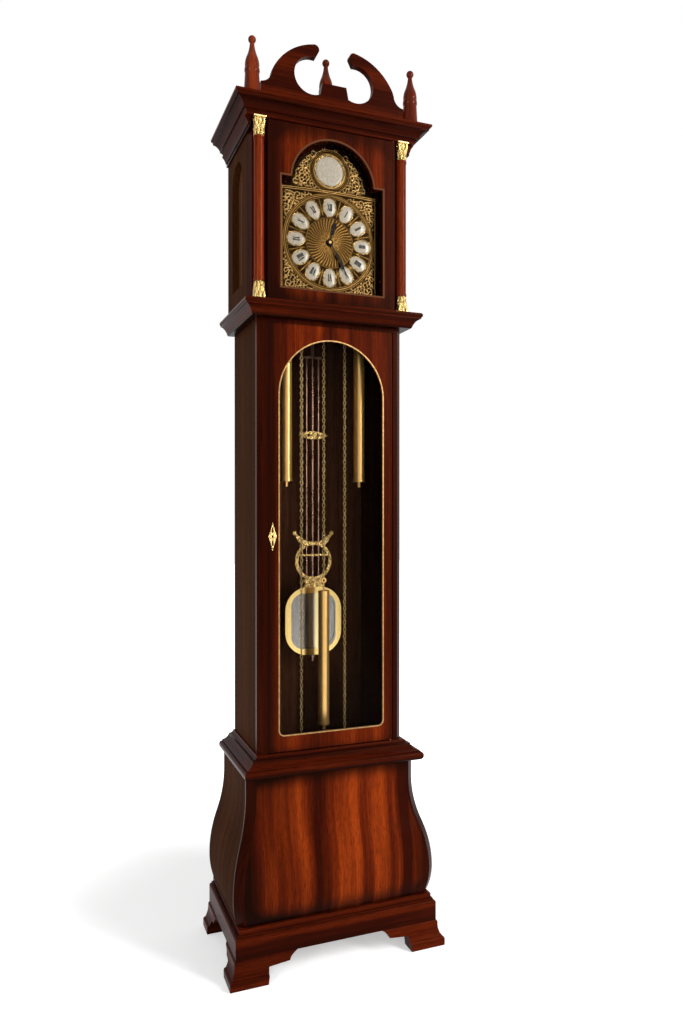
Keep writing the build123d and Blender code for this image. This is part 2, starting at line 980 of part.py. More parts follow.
with BuildPart() as hood_frets:
    for end in (-1, 1):
        with BuildSketch(side_plane(end * hood_inner, window_middle)):
            with BuildLine():
                arched_outline(
                    window_width / 2 + fret_overlap,
                    window_low - fret_overlap,
                    window_spring,
                    window_corner,
                )
            make_face()
        extrude(amount=-end * fret_thickness)
hood_frets.part.label = "hood_frets"
export_step(hood_frets.part, "parts/hood_frets.step")

with BuildPart() as hood_front_frame:
    with BuildSketch(Plane.XY.offset(hood_floor)):
        with BuildLine():
            hood_outline()
        make_face()
    extrude(amount=roof_bottom - hood_floor)
    block(
        (-hood_half, hood_half),
        (hood_frame_back, back_y),
        (hood_floor, roof_bottom),
        mode=Mode.SUBTRACT,
    )
    block(
        (-hood_door_half - door_gap, hood_door_half + door_gap),
        (hood_front, hood_frame_back),
        (hood_floor, hood_door_top + door_gap),
        mode=Mode.SUBTRACT,
    )
    block(
        (-hood_door_half - door_gap, hood_door_half + door_gap),
        (mask_front, mask_front + dial_mask_thickness),
        (hood_floor, hood_door_top + door_gap),
    )
    with BuildSketch(front_plane(mask_front)):
        with BuildLine():
            shouldered_outline(
                dial_half - 2 * dial_margin,
                dial_low + 2 * dial_margin,
                dial_shoulder - 2 * dial_margin,
                arch_centre,
                dial_arch_radius - 2 * dial_margin,
            )
        make_face()
    extrude(amount=-dial_mask_thickness, mode=Mode.SUBTRACT)
hood_front_frame.part.label = "hood_front_frame"
export_step(hood_front_frame.part, "parts/hood_front_frame.step")

with BuildPart() as cornice:
    with BuildSketch(moulding_section(hood_half)):
        with BuildLine():
            cornice_section()
        make_face()
    sweep(path=moulding_path(hood_half, hood_front), transition=Transition.RIGHT)
    with BuildSketch(Plane.XY.offset(cornice_soffit)):
        with BuildLine():
            hood_outline()
        make_face()
    extrude(amount=cornice_height, mode=Mode.SUBTRACT)
    with BuildSketch(moulding_section(hood_half)):
        with BuildLine():
            cove_section()
        make_face()
    extrude(amount=-hood_depth)
    mirror(about=Plane.YZ)
    rod(
        (hood_pivot_x, hood_pivot_y, cornice_soffit),
        (0, 0, 1),
        pivot_length,
        pivot_radius + pivot_clearance,
        mode=Mode.SUBTRACT,
    )
cornice.part.label = "cornice"
export_step(cornice.part, "parts/cornice.step")

with BuildPart() as hood_roof:
    with BuildSketch(Plane.XY.offset(roof_bottom)):
        with BuildLine():
            hood_outline()
        make_face()
    extrude(amount=roof_thickness)
hood_roof.part.label = "hood_roof"
export_step(hood_roof.part, "parts/hood_roof.step")

# ------------------------------------------------------------------ hood door
with BuildPart() as hood_door_frame:
    block(
        (-hood_door_half, hood_door_half),
        (hood_door_front, hood_door_back),
        (hood_door_bottom, hood_door_top),
    )
    swing_edge = hood_door_frame.edges().filter_by(Axis.Z).group_by(Axis.X)[-1].sort_by(Axis.Y)[0]
    fillet(swing_edge, pivot_inset - 0.05)
    with BuildSketch(front_plane(hood_door_front)):
        with BuildLine():
            bead_margin = dial_margin + door_bead_width
            shouldered_outline(
                dial_half + bead_margin,
                dial_low + 2 - door_bead_width,
                dial_shoulder + bead_margin,
                arch_centre,
                dial_arch_radius + bead_margin,
            )
        make_face()
    extrude(amount=door_bead_proud)
    with BuildSketch(front_plane(hood_door_front - door_bead_proud)):
        with BuildLine():
            shouldered_outline(
                dial_half + dial_margin,
                dial_low + 2,
                dial_shoulder + dial_margin,
                arch_centre,
                dial_arch_radius + dial_margin,
            )
        make_face()
    extrude(amount=-hood_door_thickness - door_bead_proud, mode=Mode.SUBTRACT)
    for height, way in ((hood_door_bottom, 1), (hood_door_top, -1)):
        rod(
            (hood_pivot_x, hood_pivot_y, height),
            (0, 0, way),
            pivot_length,
            pivot_radius,
            mode=Mode.SUBTRACT,
        )
hood_door_frame.part.label = "hood_door_frame"
export_step(hood_door_frame.part, "parts/hood_door_frame.step")

with BuildPart() as hood_door_glass:
    with BuildSketch(front_plane(hood_door_front + lip_thickness)):
        with BuildLine():
            shouldered_outline(
                dial_half + dial_margin,
                dial_low + 2,
                dial_shoulder + dial_margin,
                arch_centre,
                dial_arch_radius + dial_margin,
            )
        make_face()
    extrude(amount=-glass_thickness)
hood_door_glass.part.label = "hood_door_glass"
export_step(hood_door_glass.part, "parts/hood_door_glass.step")

with BuildPart() as hood_door_pivots:
    for height, way in ((hood_door_bottom, -1), (hood_door_top, 1)):
        rod(
            (hood_pivot_x, hood_pivot_y, height - way * pivot_length),
            (0, 0, way),
            2 * pivot_length + hood_door_foot_gap - 1,
            pivot_radius,
        )
hood_door_pivots.part.label = "hood_door_pivots"
export_step(hood_door_pivots.part, "parts/hood_door_pivots.step")

# ------------------------------------------------------------------ columns and mounts
column_x = hood_half - column_corner_inset
column_y = hood_front - column_projection
column_low = hood_floor + column_foot_height
column_high = cornice_soffit - capital_height

with BuildPart() as columns:
    with BuildSketch(Plane(origin=(column_x, column_y, column_low))):
        Circle(column_radius)
    extrude(amount=column_high - column_low)
    for low in (column_low, column_high - collar_height):
        rod((column_x, column_y, low), (0, 0, 1), collar_height, collar_radius)
    mirror(about=Plane.YZ)
columns.part.label = "columns"
export_step(columns.part, "parts/columns.step")

# Each mount flares from a round neck to a square plate: the capital up to the soffit,
# the base down to the hood's floor.
with BuildPart() as column_mounts:
    for neck_z, plate_z in ((column_high, cornice_soffit), (column_low, hood_floor)):
        way = 1 if plate_z > neck_z else -1
        bell_z = plate_z - way * mount_plate_thickness
        with BuildSketch(Plane(origin=(column_x, column_y, neck_z))):
            Circle(mount_neck_radius)
        with BuildSketch(Plane(origin=(column_x, column_y, bell_z))):
            RectangleRounded(mount_width, mount_width, mount_corner_radius)
        loft()
        with BuildSketch(Plane(origin=(column_x, column_y, bell_z))):
            Rectangle(mount_plate_width, mount_plate_width)
        extrude(amount=way * mount_plate_thickness)
    with BuildSketch(Plane.XY.offset(hood_floor)):
        with BuildLine():
            hood_outline()
        make_face()
    extrude(amount=cornice_top - hood_floor, mode=Mode.SUBTRACT)
    mirror(about=Plane.YZ)
column_mounts.part.label = "column_mounts"
export_step(column_mounts.part, "parts/column_mounts.step")

# ------------------------------------------------------------------ pediment and finials
with BuildPart() as pediment_board:
    with BuildSketch(front_plane(hood_front)):
        with BuildLine():
            base = cornice_top
            ring_x = scroll_ring_offset
            ring_z = base + scroll_ring_rise
            tip_x = ring_x - scroll_mouth
            tip_z = ring_z + sqrt(scroll_ring_radius**2 - scroll_mouth**2)
            heel_x = pediment_plinth_half + 5
            heel_z = ring_z - sqrt(scroll_ring_radius**2 - (ring_x - heel_x) ** 2)
            top = base + scroll_top_rise
            pediment_half_span = hood_half - finial_foot_radius - pediment_end_gap
            end_z = base + pediment_end_rise
            shoulder_x = pediment_half_span - pediment_shoulder_inset
            shoulder_z = base + pediment_shoulder_rise
            hollow = (shoulder_x + 3, shoulder_z - 9)
            scroll_top = (scroll_tip_offset + scroll_tip_width, top)
            scroll_nose = (scroll_tip_offset + 2, top - 12)
            Polyline(
                (0, base + pediment_plinth_rise),
                (0, base),
                (pediment_half_span, base),
                (pediment_half_span, end_z),
            )
            RadiusArc((pediment_half_span, end_z), hollow, pediment_hollow_radius)
            Line(hollow, (shoulder_x, shoulder_z))
            RadiusArc((shoulder_x, shoulder_z), scroll_top, -pediment_swan_radius)
            ThreePointArc(scroll_top, (scroll_tip_offset + 4, top - 3.5), scroll_nose)
            Line(scroll_nose, (tip_x, tip_z))
            ThreePointArc((tip_x, tip_z), (ring_x + scroll_ring_radius, ring_z), (heel_x, heel_z))
            Polyline(
                (heel_x, heel_z),
                (pediment_plinth_half, base + pediment_plinth_rise),
                (0, base + pediment_plinth_rise),
            )
        make_face()
        mirror(about=Plane.YZ)
    extrude(amount=pediment_thickness)
pediment_board.part.label = "pediment_board"
export_step(pediment_board.part, "parts/pediment_board.step")


def finial_profile(foot_z):
    """Half section of a finial: tapered shaft, ring, bottle-shaped skirt, neck and a ball."""
    foot, ring, ball = finial_foot_radius, finial_ring_radius, finial_ball_radius
    ball_z = foot_z + finial_height - ball
    ring_z = foot_z + finial_ring_rise
    skirt = (ring - 1, ring_z + finial_ring_height)
    shoulder = (finial_shoulder_radius, foot_z + finial_shoulder_rise)
    neck = (finial_neck_radius, ball_z - sqrt(ball**2 - finial_neck_radius**2))
    Polyline(
        (0, foot_z),
        (foot, foot_z),
        (foot - finial_shaft_taper, ring_z - 3),
        (ring - 1, ring_z - 3),
        (ring, ring_z),
        (ring, ring_z + finial_ring_height / 2),
        skirt,
    )
    RadiusArc(skirt, shoulder, -50)
    RadiusArc(shoulder, neck, 90)
    ThreePointArc(neck, (ball, ball_z), (0, ball_z + ball))
    Line((0, ball_z + ball), (0, foot_z))


finial_y = hood_front - finial_front_setback
centre_finial_y = hood_front + centre_finial_setback

with BuildPart() as finials:
    with BuildSketch(face_plane(hood_half, finial_y, 0)):
        with BuildLine():
            finial_profile(cornice_top)
        make_face()
    revolve(axis=Axis((hood_half, finial_y, 0), (0, 0, 1)))
    mirror(about=Plane.YZ)
    with BuildSketch(face_plane(0, centre_finial_y, 0)):
        with BuildLine():
            finial_profile(cornice_top + centre_block_height)
        make_face()
    revolve(axis=Axis((0, centre_finial_y, 0), (0, 0, 1)))
    half_block = centre_block_width / 2
    block(
        (-half_block, half_block),
        (centre_finial_y - half_block, centre_finial_y + half_block),
        (cornice_top, cornice_top + centre_block_height),
    )
finials.part.label = "finials"
export_step(finials.part, "parts/finials.step")

# ================================================================== movement layout
# Arbors are (x, z) points. The going train climbs from the great wheel to the escape wheel,
# and the anchor and the pendulum share one axis above it.
arbor_hole = arbor_radius + pivot_clearance
plate_front = hood_front + plate_front_depth
train_front = plate_front + plate_thickness
train_back = train_front + plate_gap
plate_back = train_back + plate_thickness
seat_top = hood_floor + seat_thickness
plate_top = seat_top + plate_height


def along(start, direction, distance):
    """The point at a distance from another in the plane of the plates."""
    angle = radians(direction)
    return (start[0] + distance * cos(angle), start[1] + distance * sin(angle))


centre_arbor = (0, hood_floor + dial_centre_rise)
great_distance = (great_teeth + centre_pinion_leaves) * great_module / 2
third_distance = (centre_teeth + third_pinion_leaves) * centre_module / 2
escape_distance = (third_teeth + escape_pinion_leaves) * third_module / 2
minute_distance = (minute_wheel_teeth + cannon_leaves) * cannon_module / 2
hour_module = 2 * minute_distance / (hour_wheel_teeth + minute_pinion_leaves)
great_arbor = along(centre_arbor, great_direction, great_distance)
third_arbor = along(centre_arbor, third_direction, third_distance)
escape_direction = 180 - degrees(acos(third_arbor[0] / escape_distance))
escape_arbor = along(third_arbor, escape_direction, escape_distance)
anchor_arbor = along(escape_arbor, 90, escape_radius * sqrt(2))
minute_arbor = along(centre_arbor, minute_direction, minute_distance)

side_sprocket_z = centre_arbor[1] - sprocket_drop
groove_half = chain_radius + chain_gap
side_chain_y = back_y - side_chain_depth
time_chain_y = side_chain_y + time_chain_setback
time_chain_x = (great_arbor[0] + time_sprocket_radius, great_arbor[0] - time_sprocket_radius)
side_chain_x = (side_sprocket_x + side_sprocket_radius, side_sprocket_x - side_sprocket_radius)
chain_drops = [(x, time_chain_y) for x in time_chain_x]
chain_drops += [(side * x, side_chain_y) for side in (-1, 1) for x in side_chain_x]
seat_half = side_inner + seat_bearing
pendulum_y = back_y - pendulum_depth
cock_front = plate_back + cock_reach
cock_back = cock_front + cock_thickness
dial_back = dial_face + dial_thickness

# How far back each wheel of the train lies, at its rear face.
third_wheel_y = train_front + 10.4
escape_pinion_y = train_front + 12.7
great_wheel_y = train_front + 26.9
centre_pinion_y = train_front + 29.2
escape_wheel_y = train_front + 36.4
centre_wheel_y = train_front + 43.4
third_pinion_y = train_front + 45.7
cannon_back = plate_front - 4
minute_wheel_y = cannon_back - 2.3
minute_pinion_y = minute_wheel_y - wheel_thickness
minute_stud_front = minute_pinion_y - pinion_length - 1.5
hour_wheel_y = minute_pinion_y - pinion_length + wheel_thickness


def arbor(place, start, end, radius=arbor_radius):
    """A round arbor from front to back between two depths, added to the part being built."""
    rod((place[0], start, place[1]), (0, 1, 0), end - start, radius)


def arbor_holes(places, start, end, radius):
    """Round holes through a plate between two depths."""
    for x, z in places:
        rod((x, start, z), (0, 1, 0), end - start, radius, mode=Mode.SUBTRACT)


def toothed_rim(teeth, module, phase):
    """Corners of a toothed rim about its own centre, with a tooth centred on the phase angle."""
    pitch_radius = teeth * module / 2
    step = 360 / teeth
    corners = []
    for tooth in range(teeth):
        middle = phase + tooth * step
        for reach, share in ((-1.25, -0.22), (0.75, -0.09), (0.75, 0.09), (-1.25, 0.22)):
            corners.append(along((0, 0), middle + share * step, pitch_radius + reach * module))
    return corners


def crossings(rim, hub, arm_width, arms):
    """Opens a wheel between its rim and its hub, and leaves straight arms."""
    Circle(rim, mode=Mode.SUBTRACT)
    Circle(hub)
    with PolarLocations(0, arms):
        Rectangle(rim + arm_width / 2, arm_width, align=(Align.MIN, Align.CENTER))


# ================================================================== dial
with BuildPart() as dial_plate:
    with BuildSketch(front_plane(dial_back)):
        with BuildLine():
            shouldered_outline(dial_half, dial_low, dial_shoulder, arch_centre, dial_arch_radius)
        make_face()
    extrude(amount=dial_thickness)
    with BuildSketch(face_plane(0, dial_face, centre_arbor[1])):
        Circle(ring_outer_radius)
        Circle(ring_inner_radius, mode=Mode.SUBTRACT)
    extrude(amount=ring_rise)
    arbor_holes([centre_arbor], dial_face - ring_rise, dial_back, hour_pipe_radius + 1)
    for x in (-dial_foot_spread, dial_foot_spread):
        for rise in (-dial_foot_spread, dial_foot_spread):
            arbor((x, centre_arbor[1] + rise), dial_back, plate_front, dial_foot_radius)
dial_plate.part.label = "dial_plate"
export_step(dial_plate.part, "parts/dial_plate.step")

# Twelve oval plaques for the hours, each pointing at the centre, and the round plaque in the
# arch.
with BuildPart() as dial_plaques:
    with BuildSketch(face_plane(0, dial_face - ring_rise, centre_arbor[1])):
        with PolarLocations(cartouche_circle_radius, 12, start_angle=90):
            Ellipse(cartouche_length / 2, cartouche_width / 2)
    extrude(amount=cartouche_rise)
    with BuildSketch(face_plane(0, dial_face, centre_arbor[1] + medallion_rise)):
        Circle(medallion_radius)
    extrude(amount=medallion_thickness)
dial_plaques.part.label = "dial_plaques"
export_step(dial_plaques.part, "parts/dial_plaques.step")

hour_hand_back = dial_face - ring_rise - cartouche_rise - 1
minute_hand_back = hour_hand_back - hand_thickness - 1.5

for hand, width, length, angle, back, pipe in (
    ("hour_hand", 8, hour_hand_length, hour_angle, hour_hand_back, hour_pipe_radius),
    ("minute_hand", 6, minute_hand_length, minute_angle, minute_hand_back, cannon_pipe_radius),
):
    with BuildPart() as piece:
        with BuildSketch(face_plane(0, back, centre_arbor[1])):
            Circle(pipe + 3.5)
            with BuildLine(Plane.XY.rotated((0, 0, -angle))):
                half = width / 2
                Polyline((-1.4, 0), (-1.4, 0.3 * length))
                ThreePointArc((-1.4, 0.3 * length), (-half, 0.42 * length), (-1.2, 0.54 * length))
                ThreePointArc((-1.2, 0.54 * length), (-half - 1, 0.68 * length), (-1, 0.8 * length))
                Polyline((-1, 0.8 * length), (0, length), (1, 0.8 * length))
                ThreePointArc((1, 0.8 * length), (half + 1, 0.68 * length), (1.2, 0.54 * length))
                ThreePointArc((1.2, 0.54 * length), (half, 0.42 * length), (1.4, 0.3 * length))
                Polyline((1.4, 0.3 * length), (1.4, 0), (-1.4, 0))
            make_face()
            Circle(pipe, mode=Mode.SUBTRACT)
        extrude(amount=hand_thickness)
    piece.part.label = hand
    export_step(piece.part, f"parts/{hand}.step")

# ================================================================== movement
with BuildPart() as seat_board:
    seat_front = plate_front - seat_overhang
    block((-seat_half, seat_half), (seat_front, seat_front + seat_depth), (hood_floor, seat_top))
    for x, y in chain_drops:
        rod((x, y, hood_floor), (0, 0, 1), seat_thickness, chain_hole_radius, mode=Mode.SUBTRACT)
seat_board.part.label = "seat_board"
export_step(seat_board.part, "parts/seat_board.step")

with BuildPart() as front_plate:
    block((-plate_half_width, plate_half_width), (plate_front, train_front), (seat_top, plate_top))
    arbor_holes(
        [centre_arbor, great_arbor, third_arbor, escape_arbor, anchor_arbor],
        plate_front,
        train_front,
        arbor_hole,
    )
    for x in (-side_sprocket_x, side_sprocket_x):
        arbor((x, side_sprocket_z), train_front, side_chain_y + sprocket_width / 2, stud_radius)
        arbor(
            (x, side_sprocket_z),
            train_front,
            side_chain_y - sprocket_width / 2 - chain_gap,
            stud_radius + 2,
        )
    arbor(minute_arbor, minute_stud_front, plate_front)
front_plate.part.label = "front_plate"
export_step(front_plate.part, "parts/front_plate.step")

with BuildPart() as back_plate:
    block((-plate_half_width, plate_half_width), (train_back, plate_back), (seat_top, plate_top))
    for x, z in (
        (side_sprocket_x, seat_top + pillar_inset),
        (plate_half_width - pillar_inset, plate_top - pillar_inset),
    ):
        arbor((x, z), train_front, train_back, pillar_radius)
        arbor((-x, z), train_front, train_back, pillar_radius)
    arbor_holes(
        [centre_arbor, great_arbor, third_arbor, escape_arbor], train_back, plate_back, arbor_hole
    )
    arbor_holes([anchor_arbor], train_back, plate_back, cock_opening)
    cock_z = (anchor_arbor[1] - cock_height / 2, anchor_arbor[1] + cock_height / 2)
    for inner, outer in ((-cock_half, -cock_half + cock_leg), (cock_half - cock_leg, cock_half)):
        block((inner, outer), (plate_back, cock_front), cock_z)
    block((-cock_half, cock_half), (cock_front, cock_back), cock_z)
    arbor_holes([anchor_arbor], cock_front, cock_front + cock_bore_depth, arbor_hole)
    arbor(anchor_arbor, cock_back, pendulum_y + eye_length, suspension_radius)
back_plate.part.label = "back_plate"
export_step(back_plate.part, "parts/back_plate.step")

with BuildPart() as centre_wheel:
    arbor(centre_arbor, cannon_back, plate_back)
    arbor(centre_arbor, minute_hand_back - hand_thickness, cannon_back, cannon_pipe_radius)
    with BuildSketch(face_plane(0, cannon_back, centre_arbor[1])):
        with BuildLine():
            Polyline(*toothed_rim(cannon_leaves, cannon_module, minute_direction), close=True)
        make_face()
    extrude(amount=pinion_length)
    with BuildSketch(face_plane(0, centre_pinion_y, centre_arbor[1])):
        with BuildLine():
            Polyline(*toothed_rim(centre_pinion_leaves, great_module, great_direction), close=True)
        make_face()
    extrude(amount=pinion_length)
    with BuildSketch(face_plane(0, centre_wheel_y, centre_arbor[1])):
        with BuildLine():
            Polyline(*toothed_rim(centre_teeth, centre_module, third_direction), close=True)
        make_face()
        crossings(centre_teeth * centre_module / 2 - 5, 8, 4, 5)
    extrude(amount=wheel_thickness)
centre_wheel.part.label = "centre_wheel"
export_step(centre_wheel.part, "parts/centre_wheel.step")

with BuildPart() as minute_wheel:
    gap_phase = minute_direction + 180 + 180 / minute_wheel_teeth
    with BuildSketch(face_plane(minute_arbor[0], minute_wheel_y, minute_arbor[1])):
        with BuildLine():
            Polyline(*toothed_rim(minute_wheel_teeth, cannon_module, gap_phase), close=True)
        make_face()
        crossings(minute_wheel_teeth * cannon_module / 2 - 4, 6, 3, 4)
    extrude(amount=wheel_thickness)
    with BuildSketch(face_plane(minute_arbor[0], minute_pinion_y, minute_arbor[1])):
        with BuildLine():
            Polyline(
                *toothed_rim(minute_pinion_leaves, hour_module, minute_direction + 180),
                close=True,
            )
        make_face()
    extrude(amount=pinion_length)
    arbor_holes(
        [minute_arbor], minute_pinion_y - pinion_length, minute_wheel_y, arbor_hole
    )
minute_wheel.part.label = "minute_wheel"
export_step(minute_wheel.part, "parts/minute_wheel.step")

with BuildPart() as hour_wheel:
    gap_phase = minute_direction + 180 / hour_wheel_teeth
    with BuildSketch(face_plane(0, hour_wheel_y, centre_arbor[1])):
        with BuildLine():
            Polyline(*toothed_rim(hour_wheel_teeth, hour_module, gap_phase), close=True)
        make_face()
    extrude(amount=wheel_thickness)
    arbor(
        centre_arbor, hour_hand_back - hand_thickness, hour_wheel_y - wheel_thickness, hour_pipe_radius
    )
    arbor_holes(
        [centre_arbor],
        hour_hand_back - hand_thickness,
        hour_wheel_y,
        cannon_pipe_radius + pivot_clearance,
    )
hour_wheel.part.label = "hour_wheel"
export_step(hour_wheel.part, "parts/hour_wheel.step")

with BuildPart() as third_wheel:
    arbor(third_arbor, plate_front, plate_back)
    gap_phase = third_direction + 180 + 180 / third_pinion_leaves
    with BuildSketch(face_plane(third_arbor[0], third_pinion_y, third_arbor[1])):
        with BuildLine():
            Polyline(*toothed_rim(third_pinion_leaves, centre_module, gap_phase), close=True)
        make_face()
    extrude(amount=pinion_length)
    with BuildSketch(face_plane(third_arbor[0], third_wheel_y, third_arbor[1])):
        with BuildLine():
            Polyline(*toothed_rim(third_teeth, third_module, escape_direction), close=True)
        make_face()
        crossings(third_teeth * third_module / 2 - 4, 7, 3.5, 5)
    extrude(amount=wheel_thickness)
third_wheel.part.label = "third_wheel"
export_step(third_wheel.part, "parts/third_wheel.step")

with BuildPart() as escape_wheel:
    arbor(escape_arbor, plate_front, plate_back)
    gap_phase = escape_direction + 180 + 180 / escape_pinion_leaves
    with BuildSketch(face_plane(escape_arbor[0], escape_pinion_y, escape_arbor[1])):
        with BuildLine():
            Polyline(*toothed_rim(escape_pinion_leaves, third_module, gap_phase), close=True)
        make_face()
    extrude(amount=pinion_length)
    with BuildSketch(face_plane(escape_arbor[0], escape_wheel_y, escape_arbor[1])):
        with BuildLine():
            step = 360 / escape_teeth
            corners = []
            for tooth in range(escape_teeth):
                middle = (tooth + 0.5) * step
                corners.append(along((0, 0), middle - 0.34 * step, escape_root))
                corners.append(along((0, 0), middle - 0.03 * step, escape_radius))
                corners.append(along((0, 0), middle + 0.03 * step, escape_radius))
                corners.append(along((0, 0), middle + 0.12 * step, escape_root))
            Polyline(*corners, close=True)
        make_face()
        crossings(escape_root - 3, 6, 3, 5)
    extrude(amount=wheel_thickness)
escape_wheel.part.label = "escape_wheel"
export_step(escape_wheel.part, "parts/escape_wheel.step")

with BuildPart() as time_great_wheel:
    arbor(great_arbor, plate_front, plate_back)
    gap_phase = great_direction + 180 + 180 / great_teeth
    with BuildSketch(face_plane(great_arbor[0], great_wheel_y, great_arbor[1])):
        with BuildLine():
            Polyline(*toothed_rim(great_teeth, great_module, gap_phase), close=True)
        make_face()
        crossings(great_teeth * great_module / 2 - 8, 14, 6, 4)
    extrude(amount=wheel_thickness)
time_great_wheel.part.label = "time_great_wheel"
export_step(time_great_wheel.part, "parts/time_great_wheel.step")

# The anchor spans seven and a half teeth, so that one pallet enters as the other leaves.
# Its crutch hangs behind the back plate and forks round the pendulum's leader.
with BuildPart() as anchor:
    arbor(anchor_arbor, plate_front, cock_front + cock_bore_depth - 0.2)
    drop = escape_radius * sqrt(2)
    lean = sqrt(0.5)
    side = pallet_width / 2 * lean
    near = (escape_radius + pallet_gap) * lean
    far = (escape_radius + 9) * lean
    with BuildSketch(face_plane(0, escape_wheel_y + 0.3, anchor_arbor[1])):
        with BuildLine():
            Polyline(
                (near - side, near + side - drop),
                (near + side, near - side - drop),
                (far + side, far - side - drop),
                (far + 1, far + 3 - drop),
                (3, 5),
                (0, 5),
                (0, -4),
                (4, -3.5),
                (far - side - 2, far + side - drop - 0.5),
                close=True,
            )
        make_face()
        mirror(about=Plane.YZ)
    extrude(amount=wheel_thickness + 0.6)
    crutch_back = plate_back + 6
    crutch_half = leader_width / 2 + crutch_gap + 2 * crutch_pin_radius
    block(
        (-3, 3),
        (crutch_back - plate_thickness, crutch_back),
        (anchor_arbor[1] - crutch_length, anchor_arbor[1]),
    )
    block(
        (-crutch_half, crutch_half),
        (crutch_back - plate_thickness, crutch_back),
        (anchor_arbor[1] - crutch_length - 3, anchor_arbor[1] - crutch_length + 3),
    )
    for way in (-1, 1):
        arbor(
            (way * (crutch_half - crutch_pin_radius), anchor_arbor[1] - crutch_length),
            crutch_back,
            pendulum_y + leader_thickness + 1,
            crutch_pin_radius,
        )
anchor.part.label = "anchor"
export_step(anchor.part, "parts/anchor.step")

# ================================================================== chains and weights
strike_x = [-x for x in side_chain_x]
lines = (
    ("time", great_arbor, time_chain_x, time_chain_y, time_sprocket_radius, arbor_hole,
     time_weight_bottom, time_tail_end),
    ("strike", (-side_sprocket_x, side_sprocket_z), strike_x, side_chain_y, side_sprocket_radius,
     stud_radius + pivot_clearance, side_weight_bottom, side_tail_end),
    ("chime", (side_sprocket_x, side_sprocket_z), side_chain_x, side_chain_y, side_sprocket_radius,
     stud_radius + pivot_clearance, side_weight_bottom, side_tail_end),
)

with BuildPart() as chain_loops:
    for name, (x, z), (load_x, tail_x), y, radius, bore, weight_bottom, tail_end in lines:
        with BuildSketch(Plane(origin=(x + radius, y, z))):
            Circle(chain_radius)
        revolve(axis=Axis((x, y, z), (0, -1, 0)), revolution_arc=180)
chain_loops.part.label = "chain_loops"
export_step(chain_loops.part, "parts/chain_loops.step")

for name, (x, z), (load_x, tail_x), y, radius, bore, weight_bottom, tail_end in lines:
    with BuildPart() as sprocket:
        with BuildSketch(Plane(origin=(x, y, z))):
            with BuildLine():
                half = sprocket_width / 2
                rim = radius + flange_rise
                root = radius - groove_half
                Polyline(
                    (bore, -half),
                    (rim, -half),
                    (rim, -groove_half),
                    (root, -groove_half),
                    (root, groove_half),
                    (rim, groove_half),
                    (rim, half),
                    (bore, half),
                    close=True,
                )
            make_face()
        revolve(axis=Axis((x, y, z), (0, 1, 0)))
    sprocket.part.label = f"{name}_sprocket"
    export_step(sprocket.part, f"parts/{name}_sprocket.step")

    weight_top = weight_bottom + weight_length
    hook_top = weight_top + hook_height
    with BuildPart() as weight:
        rod((load_x, y, weight_bottom), (0, 0, 1), weight_length, weight_radius - 0.6)
        for low in (weight_bottom, weight_top - weight_cap_height):
            rod((load_x, y, low), (0, 0, 1), weight_cap_height, weight_radius)
        rod((load_x, y, weight_bottom - weight_nut_height), (0, 0, 1), weight_nut_height, 4)
        rod((load_x, y, weight_top), (0, 0, 1), hook_height - hook_eye - 4, hook_radius)
        arbor((load_x, hook_top - hook_eye), y - chain_radius, y + chain_radius, hook_eye)
        arbor_holes([(load_x, hook_top - hook_eye)], y - chain_radius, y + chain_radius, hook_eye / 2)
    weight.part.label = f"{name}_weight"
    export_step(weight.part, f"parts/{name}_weight.step")

    with BuildPart() as chain:
        rod((load_x, y, hook_top), (0, 0, 1), z - hook_top, chain_radius)
    chain.part.label = f"{name}_chain"
    export_step(chain.part, f"parts/{name}_chain.step")

    with BuildPart() as tail:
        rod((tail_x, y, tail_end), (0, 0, 1), z - tail_end, chain_radius)
    tail.part.label = f"{name}_chain_tail"
    export_step(tail.part, f"parts/{name}_chain_tail.step")

# ================================================================== pendulum
pivot_z = anchor_arbor[1]
lyre_back = pendulum_y - centre_rod_radius

with BuildPart() as pendulum_rods:
    arbor(anchor_arbor, pendulum_y - eye_length / 2, pendulum_y + eye_length / 2, eye_radius)
    block(
        (-leader_width / 2, leader_width / 2),
        (pendulum_y - leader_thickness / 2, pendulum_y + leader_thickness / 2),
        (grid_top, pivot_z - suspension_radius - 1),
    )
    arbor_holes(
        [anchor_arbor],
        pendulum_y - eye_length / 2,
        pendulum_y + eye_length / 2,
        suspension_radius + pivot_clearance,
    )
    for low in (grid_top, grid_bottom - crossbar_height):
        block(
            (-crossbar_width / 2, crossbar_width / 2),
            (pendulum_y - centre_rod_radius, pendulum_y + centre_rod_radius),
            (low, low + crossbar_height),
        )
    for way in (-1, 1):
        rod(
            (way * rod_spacing, pendulum_y, grid_bottom - 1),
            (0, 0, 1),
            grid_top - grid_bottom + 2,
            rod_radius,
        )
    rod(
        (0, pendulum_y, bob_top - bob_height - 2 * nut_height),
        (0, 0, 1),
        grid_top - bob_top + bob_height + 2 * nut_height + 1,
        centre_rod_radius,
    )
    rod((0, pendulum_y, bob_top - bob_height), (0, 0, -1), nut_height, nut_radius)
pendulum_rods.part.label = "pendulum_rods"
export_step(pendulum_rods.part, "parts/pendulum_rods.step")

